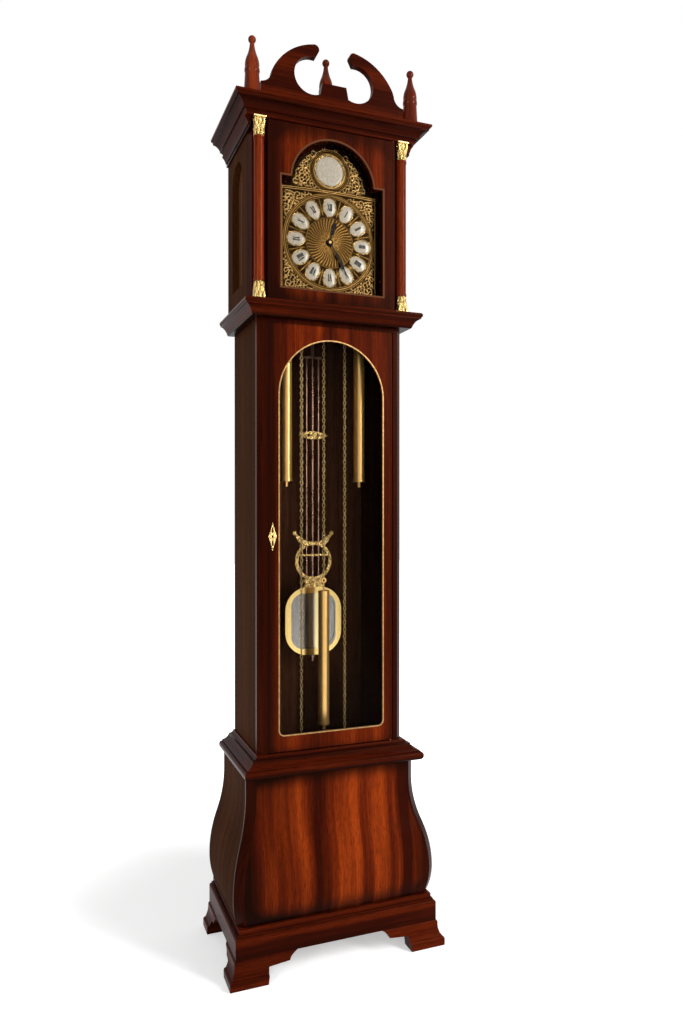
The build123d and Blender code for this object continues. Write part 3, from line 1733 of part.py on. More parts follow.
# The lyre is a ring with two horns, a top bar, a string bar and a neck down to the bob;
# the small ornament higher up clips over the same rods.
with BuildPart() as pendulum_lyre:
    with BuildSketch(face_plane(0, lyre_back, lyre_centre)):
        Circle(lyre_radius)
        Circle(lyre_radius - lyre_band, mode=Mode.SUBTRACT)
        with Locations((0, lyre_top_bar)):
            Rectangle(lyre_radius, lyre_bar_height)
        with Locations((0, lyre_string_bar)):
            Rectangle(2 * (lyre_radius - lyre_band) - 1, lyre_bar_height - 1.5)
        for way in (-1, 1):
            with BuildLine():
                root_low = (way * lyre_radius / 2, lyre_top_bar - lyre_horn_width)
                root_high = (way * lyre_radius / 4, lyre_top_bar)
                tip = (way * lyre_horn_reach, lyre_horn_rise)
                bend_x = way * lyre_horn_reach * 0.8
                bend_z = (lyre_top_bar + lyre_horn_rise) / 2
                ThreePointArc(root_low, (bend_x, bend_z - lyre_horn_width), tip)
                ThreePointArc(root_high, (bend_x - way * lyre_horn_width, bend_z), tip)
                Line(root_low, root_high)
            make_face()
            with Locations((way * lyre_horn_reach, lyre_horn_rise)):
                Circle(lyre_tip_radius)
        with BuildLine():
            neck_low = bob_top - lyre_centre
            neck_half = lyre_neck_width / 2
            Polyline(
                (-neck_half, neck_low),
                (neck_half, neck_low),
                (neck_half - 7, neck_low + 12),
                (neck_half, 3 - lyre_radius),
                (-neck_half, 3 - lyre_radius),
                (7 - neck_half, neck_low + 12),
                close=True,
            )
        make_face()
    extrude(amount=lyre_thickness)
    with BuildSketch(face_plane(0, lyre_back, hood_floor - ornament_drop)):
        with BuildLine():
            tip = (ornament_width / 2, 0)
            heel = (-ornament_width / 2, 0)
            ThreePointArc(heel, (0, ornament_height / 2), tip)
            ThreePointArc(heel, (0, -ornament_height / 2), tip)
        make_face()
        with Locations((-ornament_hole_spacing, 0), (ornament_hole_spacing, 0)):
            Circle(ornament_hole_radius, mode=Mode.SUBTRACT)
    extrude(amount=lyre_thickness)
pendulum_lyre.part.label = "pendulum_lyre"
export_step(pendulum_lyre.part, "parts/pendulum_lyre.step")

with BuildPart() as pendulum_bob:
    bob_centre = bob_top - bob_height / 2
    with BuildSketch(face_plane(0, pendulum_y + bob_thickness / 2, bob_centre)):
        RectangleRounded(bob_width, bob_height, bob_corner_radius)
    extrude(amount=bob_thickness)
    with BuildSketch(face_plane(0, pendulum_y + bob_thickness / 2 + bob_rim_rise, bob_centre)):
        RectangleRounded(bob_width, bob_height, bob_corner_radius)
        RectangleRounded(
            bob_width - 2 * bob_rim,
            bob_height - 2 * bob_rim,
            bob_corner_radius - bob_rim,
            mode=Mode.SUBTRACT,
        )
    extrude(amount=bob_thickness + 2 * bob_rim_rise)
    rod(
        (0, pendulum_y, bob_top - bob_height),
        (0, 0, 1),
        bob_height,
        centre_rod_radius,
        mode=Mode.SUBTRACT,
    )
pendulum_bob.part.label = "pendulum_bob"
export_step(pendulum_bob.part, "parts/pendulum_bob.step")

# ================================================================== chimes
# Tuned rods hang from a block on the back board. The hammers swing on one arbor in its ears.
rod_y = back_y - chime_rod_setback
block_low = hood_floor + chime_block_rise
hammer_y = rod_y - chime_rod_radius - hammer_gap - hammer_head_length + 1
hammer_z = block_low + chime_block_height / 2
ear_x = chime_block_width / 2
rod_places = [
    (step - (chime_rod_count - 1) / 2) * chime_rod_spacing for step in range(chime_rod_count)
]

with BuildPart() as chime_rods:
    block(
        (-ear_x, ear_x),
        (rod_y - chime_rod_spacing / 2, board_front),
        (block_low, block_low + chime_block_height),
    )
    for x in rod_places:
        rod((x, rod_y, block_low + 1), (0, 0, -1), chime_rod_length, chime_rod_radius)
    for inner, outer in ((-ear_x, ear_thickness - ear_x), (ear_x - ear_thickness, ear_x)):
        block(
            (inner, outer),
            (hammer_y - 2 * arbor_radius, rod_y),
            (block_low, block_low + chime_block_height),
        )
    rod((-ear_x, hammer_y, hammer_z), (1, 0, 0), 2 * ear_x, arbor_hole, mode=Mode.SUBTRACT)
chime_rods.part.label = "chime_rods"
export_step(chime_rods.part, "parts/chime_rods.step")

with BuildPart() as hammers:
    rod((-ear_x, hammer_y, hammer_z), (1, 0, 0), 2 * ear_x, arbor_radius)
    for x in rod_places:
        rod((x, hammer_y, hammer_z), (0, 0, -1), hammer_drop, 1.2)
        rod(
            (x, hammer_y - 1, hammer_z - hammer_drop),
            (0, 1, 0),
            hammer_head_length,
            hammer_head_radius,
        )
hammers.part.label = "hammers"
export_step(hammers.part, "parts/hammers.step")
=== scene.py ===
# %% [markdown]
# # A longcase clock, dressed
#
# The clock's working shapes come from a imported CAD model: the case, its doors, the movement, the
# weights and the pendulum are all there at their real size. This lesson gives them their finishes
# and adds what a carver, an engraver and a chain maker would add. Nothing from the CAD model is
# moved.

# %% Load the clock
import json
import math

import bmesh
import bpy
import numpy as np
from mathutils import Matrix, Vector


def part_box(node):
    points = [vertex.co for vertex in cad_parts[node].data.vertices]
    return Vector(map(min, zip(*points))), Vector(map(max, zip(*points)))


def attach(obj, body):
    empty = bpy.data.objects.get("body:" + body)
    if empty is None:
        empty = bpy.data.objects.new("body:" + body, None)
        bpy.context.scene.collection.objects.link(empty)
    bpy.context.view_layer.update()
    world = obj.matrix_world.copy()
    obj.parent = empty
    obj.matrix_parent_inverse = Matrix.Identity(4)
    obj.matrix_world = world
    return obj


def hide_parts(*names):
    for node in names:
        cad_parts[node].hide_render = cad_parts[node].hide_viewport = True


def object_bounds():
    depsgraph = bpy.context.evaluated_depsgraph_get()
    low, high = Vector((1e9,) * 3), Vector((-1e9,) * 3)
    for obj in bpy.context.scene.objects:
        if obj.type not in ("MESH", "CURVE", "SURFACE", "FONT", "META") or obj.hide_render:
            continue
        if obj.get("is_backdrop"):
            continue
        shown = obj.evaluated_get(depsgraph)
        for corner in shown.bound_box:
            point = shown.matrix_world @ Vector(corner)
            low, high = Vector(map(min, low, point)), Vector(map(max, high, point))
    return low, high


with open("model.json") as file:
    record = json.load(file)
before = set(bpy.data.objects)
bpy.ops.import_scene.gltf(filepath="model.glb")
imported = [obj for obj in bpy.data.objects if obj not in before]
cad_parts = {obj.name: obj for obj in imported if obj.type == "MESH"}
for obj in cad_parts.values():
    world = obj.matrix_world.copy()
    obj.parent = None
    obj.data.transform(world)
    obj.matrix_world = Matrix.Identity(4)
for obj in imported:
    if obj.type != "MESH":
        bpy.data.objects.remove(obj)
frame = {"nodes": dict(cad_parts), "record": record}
cad_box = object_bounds()
nodes = frame["nodes"]
scene = bpy.context.scene
scene.view_settings.view_transform = "Standard"
print("CAD pieces:", len(nodes), "height:", round(cad_box[1].z, 3), "m")

MM = 0.001
WHITE = (1.0, 1.0, 1.0, 1.0)


def middle(node):
    """The middle of a CAD piece's box: x, y and z."""
    return [(low + high) / 2 for low, high in zip(*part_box(node))]


# %% [markdown]
# ## Writing shader maths as Python
#
# Every finish on this clock is a small sum: grain plus pores, dark where a panel ends, worn where a
# ridge stands proud. Node links make such sums hard to read. A Wire stands for one output socket,
# and adding or multiplying two wires adds the Math node that does it. A Graph is the only place
# where nodes are made. A Finish is the graph of one material.


# %% A wire
class Wire:
    """One output of a node tree, with Python's operators on it."""

    def __init__(self, graph, socket):
        self.graph = graph
        self.socket = socket

    def maths(self, operation, *others, clamp=False):
        settings = {"operation": operation, "use_clamp": clamp}
        return self.graph.add("ShaderNodeMath", settings, dict(enumerate((self, *others))))

    def __add__(self, other):
        return self.maths("ADD", other)

    def __sub__(self, other):
        return self.maths("SUBTRACT", other)

    def __rsub__(self, other):
        return self.graph.add("ShaderNodeMath", {"operation": "SUBTRACT"}, {0: other, 1: self})

    def __mul__(self, other):
        return self.maths("MULTIPLY", other)

    def __truediv__(self, other):
        return self.maths("DIVIDE", other)

    def __pow__(self, other):
        return self.maths("POWER", other)

    def __abs__(self):
        return self.maths("ABSOLUTE")

    __radd__ = __add__
    __rmul__ = __mul__

    def sine(self):
        return self.maths("SINE")

    def clamped(self):
        return self.maths("ADD", 0.0, clamp=True)

    def rise(self, low, high):
        """0 below low, 1 above high, smooth between; low may be the larger."""
        if low > high:
            return 1 - self.rise(high, low)
        settings = {"interpolation_type": "SMOOTHSTEP", "clamp": True}
        ends = {0: self, 1: low, 2: high, 3: 0.0, 4: 1.0}
        return self.graph.add("ShaderNodeMapRange", settings, ends)

    def band(self, low, high, soft):
        """1 between low and high, 0 outside, with soft edges."""
        return self.rise(low - soft, low + soft) * self.rise(high + soft, high - soft)


# %% A graph
class Graph:
    """A node tree, and the one method that adds nodes to it."""

    def __init__(self, tree):
        self.tree = tree

    def plug(self, node, key, value):
        if isinstance(value, Wire):
            self.tree.links.new(value.socket, node.inputs[key])
        else:
            node.inputs[key].default_value = value

    def node(self, kind, settings=None, inputs=None):
        """A new node: its settings first, then the values or wires of its sockets."""
        node = self.tree.nodes.new(kind)
        for key, value in (settings or {}).items():
            if key == "stops":
                self.fill_ramp(node.color_ramp, value)
            else:
                setattr(node, key, value)
        for key, value in (inputs or {}).items():
            self.plug(node, key, value)
        return node

    def add(self, kind, settings=None, inputs=None, out=0):
        """A new node, given back as the wire of one of its outputs."""
        return Wire(self, self.node(kind, settings, inputs).outputs[out])

    def fill_ramp(self, ramp, stops):
        while len(ramp.elements) < len(stops):
            ramp.elements.new(1.0)
        for element, (place, colour) in zip(ramp.elements, stops):
            element.position = place
            element.color = (*colour, 1.0)

    def point(self, x, y, z):
        return self.add("ShaderNodeCombineXYZ", inputs={0: x, 1: y, 2: z})

    def split(self, vector):
        """The x, y and z of a vector."""
        parts = self.node("ShaderNodeSeparateXYZ", inputs={0: vector})
        return [Wire(self, socket) for socket in parts.outputs]


# %% A finish
class Finish(Graph):
    """One material and its Principled shader."""

    def __init__(self, name, **numbers):
        self.material = bpy.data.materials.new(name)
        self.material.use_nodes = True
        super().__init__(self.material.node_tree)
        self.tree.nodes.clear()
        self.shader = self.node("ShaderNodeBsdfPrincipled")
        self.output = self.node("ShaderNodeOutputMaterial", inputs={0: self.shaded()})
        self.set(**numbers)

    def shaded(self):
        """What the Principled shader gives."""
        return Wire(self, self.shader.outputs[0])

    def set(self, **numbers):
        """Principled sockets by name, with _ for a space: Base_Color, Roughness, Coat_Weight."""
        for key, value in numbers.items():
            if isinstance(value, tuple) and len(value) == 3:
                value = (*value, 1.0)
            self.plug(self.shader, key.replace("_", " "), value)

    def place(self):
        """The point on the piece, as a vector in metres."""
        return self.add("ShaderNodeTexCoord", out="Object")

    def axes(self):
        """The x, y and z of the point, in metres."""
        return self.split(self.place())

    def facing_sideways(self):
        """1 on faces that look left or right, 0 on those that look to the front or back."""
        x, _, _ = self.split(self.add("ShaderNodeNewGeometry", out="Normal"))
        return abs(x).rise(0.55, 0.60)

    def worked(self, name):
        """A number that a mesh carries at each corner, such as how proud its carving stands."""
        return self.add("ShaderNodeAttribute", {"attribute_name": name}, out="Fac")

    def noise(self, at, scale, detail=2.0, rough=0.5, warp=0.0):
        inputs = {"Vector": at, "Scale": scale, "Detail": detail, "Roughness": rough}
        return self.add("ShaderNodeTexNoise", inputs={**inputs, "Distortion": warp})

    def mix(self, share, first, second, blend="MIX"):
        """first where share is 0, second where it is 1; each is a wire or a colour."""
        ends = [(*c, 1.0) if isinstance(c, tuple) and len(c) == 3 else c for c in (first, second)]
        settings = {"data_type": "RGBA", "blend_type": blend}
        return self.add("ShaderNodeMix", settings, {0: share, 6: ends[0], 7: ends[1]}, out=2)

    def ramp(self, share, stops):
        return self.add("ShaderNodeValToRGB", {"stops": stops}, {0: share})

    def bump(self, height, depth):
        """A normal from a height wire; depth is in metres."""
        inputs = {"Height": height, "Distance": depth, "Strength": 1.0}
        return self.add("ShaderNodeBump", inputs=inputs)


# %% [markdown]
# ## Mahogany
#
# The case is mahogany under a high French polish. Sawn on the quarter, the wood shows broad
# ribbons, some orange and some almost brown, and in them fine dark pores, all drawn out along the
# board. So every noise is read at a point squeezed along the grain. A moulding's grain turns the
# corner at its mitre. Each board can then be darkened towards its edges by a wire that says how
# near an edge the point is: partly as a polisher shades it, and partly as painted shade under the
# mouldings and on the side turned from the lamps.


# %% Colours and sizes of the grain
def dark_to_light(dark, between, light):
    """A ramp's three stops."""
    return [(0.0, dark), (0.5, between), (1.0, light)]


WOOD_STOPS = dark_to_light((0.024, 0.0025, 0.0009), (0.096, 0.0105, 0.0019), (0.245, 0.033, 0.004))
# The sides are the same mahogany as the front; their darker, browner stops are painted shade on
# faces turned from the lamps.
SIDE_STOPS = dark_to_light((0.016, 0.0052, 0.0018), (0.043, 0.0138, 0.0044), (0.086, 0.029, 0.0092))
INSIDE_STOPS = dark_to_light((0.045, 0.017, 0.009), (0.115, 0.043, 0.022), (0.20, 0.075, 0.038))
POLISH = (1.0, 0.45, 0.25)  # shellac colours what it reflects
# The near black below is both a polisher's stain and painted shade, mixed in by the shade
# functions.
STAIN_AND_PAINTED_SHADE = (0.0065, 0.0014, 0.0008)  # the near black of a shaded edge
# The cock bead's paler colour is a painted highlight along its lip.
BEAD_PAINTED_HIGHLIGHT = (0.085, 0.032, 0.014)  # the cock bead round a door's opening
RIBBON = 34 * MM  # width of one light or dark ribbon
RIBBON_CONTRAST = 2.6
FIBRE = 6 * MM
FIBRE_CONTRAST = 0.8
PORE = 0.8 * MM
PORE_DARKNESS = 0.55
GRAIN_DEPTH = 0.05 * MM
GRAIN_STRETCH = 34.0


# %% Mahogany along any axis
def grain_place(finish, along, across, through):
    """The point with its run along the grain squeezed, so that noise is drawn out that way."""
    return finish.point(across, through, along * (1 / GRAIN_STRETCH))


def mahogany(
    name, along="Z", tone=0.5, ribbon=1.0, shade=None,
    gloss=0.22, shine=0.03, coat=0.0, stops=WOOD_STOPS, bead=None,
):
    """Polished mahogany, its grain along X, Z or a mitred moulding.

    tone 0 is dark and 1 is light, ribbon is how strongly the ribbons show, and
    shade(finish, x, y, z) gives 1 in the darkest places, which take stain and painted shade. A cock
    bead, paler as a painted highlight along its lip, stands in front of the Y that bead gives.
    """
    wood = Finish(name, Specular_IOR_Level=shine, Specular_Tint=POLISH)
    wood.set(Coat_Weight=coat, Coat_Roughness=0.04)
    x, y, z = wood.axes()
    side = wood.facing_sideways()
    level, inwards = x * (1 - side) + y * side, (y * (1 - side) + x * side) * 0.15
    runs = {"X": (x, z, inwards), "mitred": (level, z, inwards), "Z": (z, level, inwards)}
    at = grain_place(wood, *runs[along])
    ribbons = wood.noise(at, 1 / RIBBON, detail=1.5, rough=0.5, warp=0.08)
    fibres = wood.noise(at, 1 / FIBRE, detail=4.0, rough=0.65)
    pores = wood.noise(at, 1 / PORE, detail=2.0, rough=0.6)
    lightness = (ribbons - 0.5) * (RIBBON_CONTRAST * ribbon)
    lightness = lightness + (fibres - 0.5) * FIBRE_CONTRAST + tone
    colour = wood.ramp(lightness.clamped(), stops)
    pore_colour = tuple(c * 0.5 for c in stops[0][1])
    colour = wood.mix(pores.rise(0.50, 0.38) * PORE_DARKNESS, colour, pore_colour)
    # Stain and painted shade, where the shade function gives it.
    if shade:
        colour = wood.mix(shade(wood, x, y, z).clamped(), colour, STAIN_AND_PAINTED_SHADE)
    if bead is not None:
        colour = wood.mix(y.rise(bead, bead - 0.3 * MM), colour, BEAD_PAINTED_HIGHLIGHT)
    wood.set(Base_Color=colour, Roughness=fibres * 0.10 + gloss)
    wood.set(Normal=wood.bump(pores * 0.6 + fibres * 0.4, GRAIN_DEPTH))
    return wood.material


# %% [markdown]
# ## The camera and the light
#
# The clock stands on a white sweep under soft studio light. One broad lamp from the right front
# lights the faces of the doors, and the left side falls away, so that the polish reads dark there.
# The floor is white to the camera, and darkens only where the clock keeps light from it.


# %% Camera
CAMERA_AT = (-0.6073, -1.704, 0.9926)
YAW = math.radians(21.12)
PITCH = math.radians(-0.24)
FOCAL = 27.35  # on a 36 mm tall sensor

camera = bpy.data.objects.new("camera", bpy.data.cameras.new("camera"))
scene.collection.objects.link(camera)
camera.location = CAMERA_AT
ahead = math.cos(PITCH)
looking = Vector((math.sin(YAW) * ahead, math.cos(YAW) * ahead, math.sin(PITCH)))
camera.rotation_mode = "QUATERNION"
camera.rotation_quaternion = looking.to_track_quat("-Z", "Y")
camera.data.sensor_width = 36
camera.data.lens = FOCAL
scene.camera = camera
print("camera height:", round(camera.location.z, 3), "m")


# %% Floor and world
FLOOR_HALF = 12.0
SHADOW_NEAR, SHADOW_FAR = 0.5, 1.1  # the clock's shadow fades out between these distances
ROOM_LIGHT = 0.5  # how strongly the white room lights the clock


def seen(graph):
    """1 for rays from the camera, a mirror or a pane, and 0 for rays that light the clock."""
    path = graph.node("ShaderNodeLightPath")
    rays = ("Is Camera Ray", "Is Glossy Ray", "Is Transmission Ray")
    return sum(Wire(graph, path.outputs[ray]) for ray in rays).clamped()


def stage_floor():
    mesh = bpy.data.meshes.new("floor")
    square = [(-1, -1), (1, -1), (1, 1), (-1, 1)]
    mesh.from_pydata([(x * FLOOR_HALF, y * FLOOR_HALF, 0) for x, y in square], [], [(0, 1, 2, 3)])
    floor = bpy.data.objects.new("floor", mesh)
    scene.collection.objects.link(floor)
    floor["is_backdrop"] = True
    sweep = Finish("floor_white", Base_Color=(0.8, 0.8, 0.8), Roughness=0.9, Specular_IOR_Level=0.0)
    x, y, _ = sweep.axes()
    far = (x * x + y * y).maths("SQRT").rise(SHADOW_NEAR, SHADOW_FAR)
    lift = sweep.add("ShaderNodeEmission", inputs={0: WHITE, 1: seen(sweep) * (far * 0.6 + 0.4)})
    both = sweep.add("ShaderNodeAddShader", inputs={0: sweep.shaded(), 1: lift})
    sweep.plug(sweep.output, "Surface", both)
    floor.data.materials.append(sweep.material)


def stage_world():
    world = bpy.data.worlds.new("studio")
    world.use_nodes = True
    scene.world = world
    sky = Graph(world.node_tree)
    sky.tree.nodes.clear()
    strength = seen(sky) * (1 - ROOM_LIGHT) + ROOM_LIGHT
    glow = sky.add("ShaderNodeBackground", inputs={0: WHITE, 1: strength})
    sky.node("ShaderNodeOutputWorld", inputs={0: glow})


# %% Lamps
def lamp(name, at, aim, size, power):
    light = bpy.data.lights.new(name, "AREA")
    light.shape = "RECTANGLE"
    light.size, light.size_y = size
    light.energy = power
    lamp_object = bpy.data.objects.new(name, light)
    scene.collection.objects.link(lamp_object)
    lamp_object.location = at
    direction = Vector(aim) - Vector(at)
    lamp_object.rotation_mode = "QUATERNION"
    lamp_object.rotation_quaternion = direction.to_track_quat("-Z", "Y")


stage_floor()
stage_world()
lamp("key", (2.3, -2.6, 2.4), (0, 0, 1.0), (1.2, 2.2), 120)
lamp("strip_right", (1.8, -2.6, 1.7), (0, 0, 1.3), (0.10, 2.4), 30)
lamp("strip_left", (-2.2, -1.9, 1.7), (0, 0, 1.3), (0.10, 2.4), 20)
lamp("fill", (-2.6, -2.2, 1.8), (0, 0, 1.1), (1.0, 2.0), 21)
print("lamps:", len(bpy.data.lights))

# %% [markdown]
# ## Finishes of the case
#
# Boards keep the grain along their length: upright on the bombe front, the sides and the stiles,
# and lying on the mouldings, which are cut in long strips. The shading follows each board's own
# edges, which are read from the CAD piece's box. It could be painted by hand, but a box is exact.


# %% Shaded edges
def front_board(half_width, low, high, fade, depth, left):
    """Dark towards the edges of a board that faces the front: a polisher's shading, and painted
    shade under the mouldings. left adds painted shade on that side only, away from the lamps.
    """

    def shade(wood, x, y, z):
        side = abs(x).rise(half_width - fade, half_width)
        foot = z.rise(low + fade, low)
        head = z.rise(high - fade, high)
        return (side + foot + head).clamped() * depth + x.rise(0.0, -half_width) * left

    return shade


def moulding_shade(node, depth=0.75):
    """Painted shade in the hollow under a moulding's top edge and along its foot, and a little
    darker all over.
    """
    low, high = (corner.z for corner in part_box(node))
    tall = high - low

    def shade(wood, x, y, z):
        foot = z.rise(low + tall * 0.30, low)
        head = z.band(high - tall * 0.30, high - tall * 0.12, tall * 0.08)
        return (foot + head * 0.7).clamped() * depth + 0.10

    return shade


def plain_dark(amount):
    """Darker by the same amount all over; on the corner posts and the stiles this is painted shade.
    """
    return lambda wood, x, y, z: x * 0.0 + amount


def fret_panel(wood, x, y, z):
    """A dark line, painted as the shade in a groove that follows the arched window in the hood's
    side, and black at the bottom.
    """
    low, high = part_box("hood_frets")
    half = (high.y - low.y) / 2
    above_spring = (z - (high.z - half)).maths("MAXIMUM", 0.0)
    arch = ((y - middle("hood_frets")[1]) ** 2.0 + above_spring ** 2.0).maths("SQRT")
    inner = half - 9 * MM
    groove = arch.band(inner - 2 * MM, inner + 2 * MM, 1.2 * MM)
    return (groove + z.rise(low.z + 12 * MM, low.z + 8 * MM)) * 0.9


def board_shade(node, fade, depth, left, below=0.0, above=0.0):
    """front_board over a CAD piece's own box, carried on a little past its foot and head."""
    low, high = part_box(node)
    return front_board(high.x, low.z - below, high.z + above, fade, depth, left)


# %% Each wooden piece and its finish
hood_bead_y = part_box("hood_door_frame")[0].y + 0.8 * MM
# Painted shade, in part: each front board darkens at its edges, and more on its left.
bombe_shade = board_shade("bombe_front", 45 * MM, 0.85, 0.35)
hood_shade = board_shade("hood_door_frame", 55 * MM, 0.8, 0.1)
door_shade = board_shade("trunk_door_frame", 26 * MM, 0.65, 0.25, below=10 * MM, above=20 * MM)
# The side boards take the darker stops: painted shade.
dark_side = {"stops": SIDE_STOPS, "gloss": 0.6, "shine": 0.008}
unpolished = {"stops": INSIDE_STOPS, "gloss": 0.6, "shine": 0.01}

case_finishes = {
    "bombe_front": mahogany("mahogany_bombe", "Z", 0.44, 1.0, bombe_shade),
    "bombe_sides": mahogany("mahogany_base_side", "Z", 0.45, 0.35, **dark_side),
    # Painted shade: the canted corner posts are darkened all over.
    "base_corner_posts": mahogany("mahogany_post", "Z", 0.05, 0.3, plain_dark(0.55)),
    "plinth": mahogany("mahogany_plinth", "mitred", 0.10, 0.6, moulding_shade("plinth", 0.5)),
    "bracket_feet": mahogany("mahogany_foot", "mitred", 0.18, 0.6, plain_dark(0.15)),
    "waist_moulding": mahogany(
        "mahogany_waist", "mitred", 0.04, 0.5, moulding_shade("waist_moulding")
    ),
    "hood_base_moulding": mahogany(
        "mahogany_hood_base", "mitred", 0.08, 0.5, moulding_shade("hood_base_moulding")
    ),
    "cornice": mahogany("mahogany_cornice", "mitred", 0.07, 0.5, moulding_shade("cornice")),
    "trunk_sides": mahogany("mahogany_trunk_side", "Z", 0.45, 0.35, **dark_side),
    # Painted shade: the trunk's stiles on the canted corners are darkened all over.
    "trunk_front_frame": mahogany("mahogany_stile", "Z", 0.10, 0.4, plain_dark(0.45)),
    "trunk_door_frame": mahogany("mahogany_trunk_door", "Z", 0.38, 0.6, door_shade),
    "hood_sides": mahogany("mahogany_hood_side", "Z", 0.50, 0.35, **dark_side),
    # Painted shade: the hood's stiles beside the columns are darkened all over.
    "hood_front_frame": mahogany("mahogany_hood_stile", "Z", 0.15, 0.4, plain_dark(0.4)),
    "hood_door_frame": mahogany("mahogany_hood_door", "Z", 0.47, 0.7, hood_shade, bead=hood_bead_y),
    "pediment_board": mahogany("mahogany_pediment", "X", 0.22, 0.5, plain_dark(0.15)),
    "finials": mahogany("mahogany_finial", "Z", 0.50, 0.5, gloss=0.14, shine=0.04, coat=0.12),
    "columns": mahogany("mahogany_column", "Z", 0.60, 0.4, gloss=0.07, shine=0.03, coat=0.05),
    "back_board": mahogany("back_board_wood", "Z", 0.50, 0.3, None, 0.5, 0.02, stops=INSIDE_STOPS),
    "base_board": mahogany("base_board_wood", "X", 0.50, 0.3, **unpolished),
    "seat_board": mahogany("seat_board_wood", "X", 0.50, 0.3, **unpolished),
    "hood_roof": mahogany("roof_wood", "X", 0.50, 0.3, **unpolished),
    "hood_frets": mahogany("fret_wood", "Z", 0.80, 0.3, fret_panel, 0.5, 0.04, stops=SIDE_STOPS),
}


def paint(node, material):
    """Give a CAD piece its finish, in every slot it has."""
    mesh = nodes[node].data
    if not mesh.materials:
        mesh.materials.append(material)
    for place in range(len(mesh.materials)):
        mesh.materials[place] = material


for node, material in case_finishes.items():
    paint(node, material)
print("wooden pieces:", len(case_finishes))


# %% [markdown]
# ## Metals, glass and enamel
#
# The brass of the weights is turned and lacquered, the gilt of the castings is brighter on its
# ridges and brown in its hollows, and the middle of the pendulum's bob is a silvered plate in a
# gilt rim. The carved gold is darker in its hollows, and that darkness is painted shade. Ambient
# occlusion could place it, but the carving already knows its heights: cast pieces carry a number
# called relief at each corner of their mesh, 0 in the ground and 1 on the ridges.


# %% Metals
def metal(name, colour, rough, mottle=0.15, scale=60.0):
    """A metal whose colour and gloss drift a little, as lacquered brass does."""
    finish = Finish(name, Metallic=1.0)
    cloud = finish.noise(finish.place(), scale, detail=3.0)
    dark = tuple(c * (1 - mottle * 2) for c in colour)
    finish.set(Base_Color=finish.mix(cloud.rise(0.35, 0.65), dark, colour))
    finish.set(Roughness=cloud * 0.12 + rough)
    return finish.material


def carved_gold(name, ground, slope, ridge, rough=0.28):
    """Cast gold, darker in its hollows as painted shade, by the relief that the mesh carries."""
    finish = Finish(name, Metallic=1.0)
    proud = finish.worked("relief")
    grit = finish.noise(finish.place(), 900.0, detail=2.0)
    stops = [(0.0, ground), (0.42, slope), (0.95, ridge)]
    colour = finish.ramp((proud + (grit - 0.5) * 0.2).clamped(), stops)
    finish.set(Base_Color=colour, Roughness=grit * 0.15 + rough)
    return finish.material


def silvered_bob():
    """A gilt rim round a silvered field, which is brushed upright, with a painted reflection: a
    warm bright band down the field.
    """
    finish = Finish("bob_plate", Metallic=1.0)
    x, y, z = finish.axes()
    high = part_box("pendulum_bob")[1]
    level = middle("pendulum_bob")[2]
    rim = 15 * MM
    corner = 46 * MM  # radius of the plate's rounded corners
    over_x = (abs(x) - (high.x - corner)).maths("MAXIMUM", 0.0)
    over_z = (abs(z - level) - (high.z - level - corner)).maths("MAXIMUM", 0.0)
    round_edge = (over_x * over_x + over_z * over_z).maths("SQRT")
    field = round_edge.rise(corner - rim + MM, corner - rim)
    brushed = finish.noise(finish.point(x, y, z * 0.05), 420.0, detail=3.0)
    silver = finish.mix(brushed, (0.13, 0.13, 0.13), (0.34, 0.34, 0.33))
    # A painted reflection: a warm band down the silver, just right of the middle.
    glow = x.band(2 * MM, 24 * MM, 6 * MM)
    silver = finish.mix(glow, silver, (0.78, 0.66, 0.36))
    gold = finish.mix(brushed, (0.62, 0.42, 0.13), (0.86, 0.66, 0.27))
    finish.set(Base_Color=finish.mix(field, gold, silver), Roughness=brushed * 0.1 + 0.12)
    return finish.material


# %% Gilt and brass
def cast_gilt():
    """Cast and gilt brass: chased all over in small curls, brown between them."""
    finish = Finish("gilt", Metallic=0.9)
    curls = finish.noise(finish.place(), 330.0, detail=1.0, warp=1.6)
    proud = curls.rise(0.40, 0.56)
    finish.set(Base_Color=finish.mix(proud, (0.30, 0.155, 0.040), (0.98, 0.70, 0.27)))
    finish.set(Roughness=curls * 0.2 + 0.15, Normal=finish.bump(proud, 0.5 * MM))
    return finish.material


def turned_brass():
    """The weights' brass: a fine lathe mark round the tube, and colour that drifts slowly."""
    finish = Finish("brass", Metallic=0.65, Specular_IOR_Level=0.5)
    x, y, z = finish.axes()
    cloud = finish.noise(finish.place(), 30.0, detail=2.0)
    marks = finish.noise(finish.point(x * 0.05, y * 0.05, z), 1500.0, detail=2.0)
    finish.set(Base_Color=finish.mix(cloud, (0.82, 0.47, 0.13), (1.0, 0.64, 0.24)))
    finish.set(Roughness=marks * 0.12 + 0.26)
    return finish.material


# %% Blued steel and enamel
def blued_black():
    """Steel hands, blued almost black."""
    finish = Finish("black_hands", Roughness=0.35, Specular_IOR_Level=0.15)
    cloud = finish.noise(finish.place(), 300.0)
    finish.set(Base_Color=finish.mix(cloud, (0.002, 0.002, 0.0025), (0.008, 0.007, 0.007)))
    return finish.material


def kiln_enamel():
    """Ivory enamel with a faint crackle."""
    finish = Finish("enamel", Specular_IOR_Level=0.4, Roughness=0.16)
    cloud = finish.noise(finish.place(), 240.0, detail=4.0)
    finish.set(Base_Color=finish.mix(cloud.rise(0.35, 0.7), (0.78, 0.70, 0.58), (0.96, 0.89, 0.76)))
    return finish.material


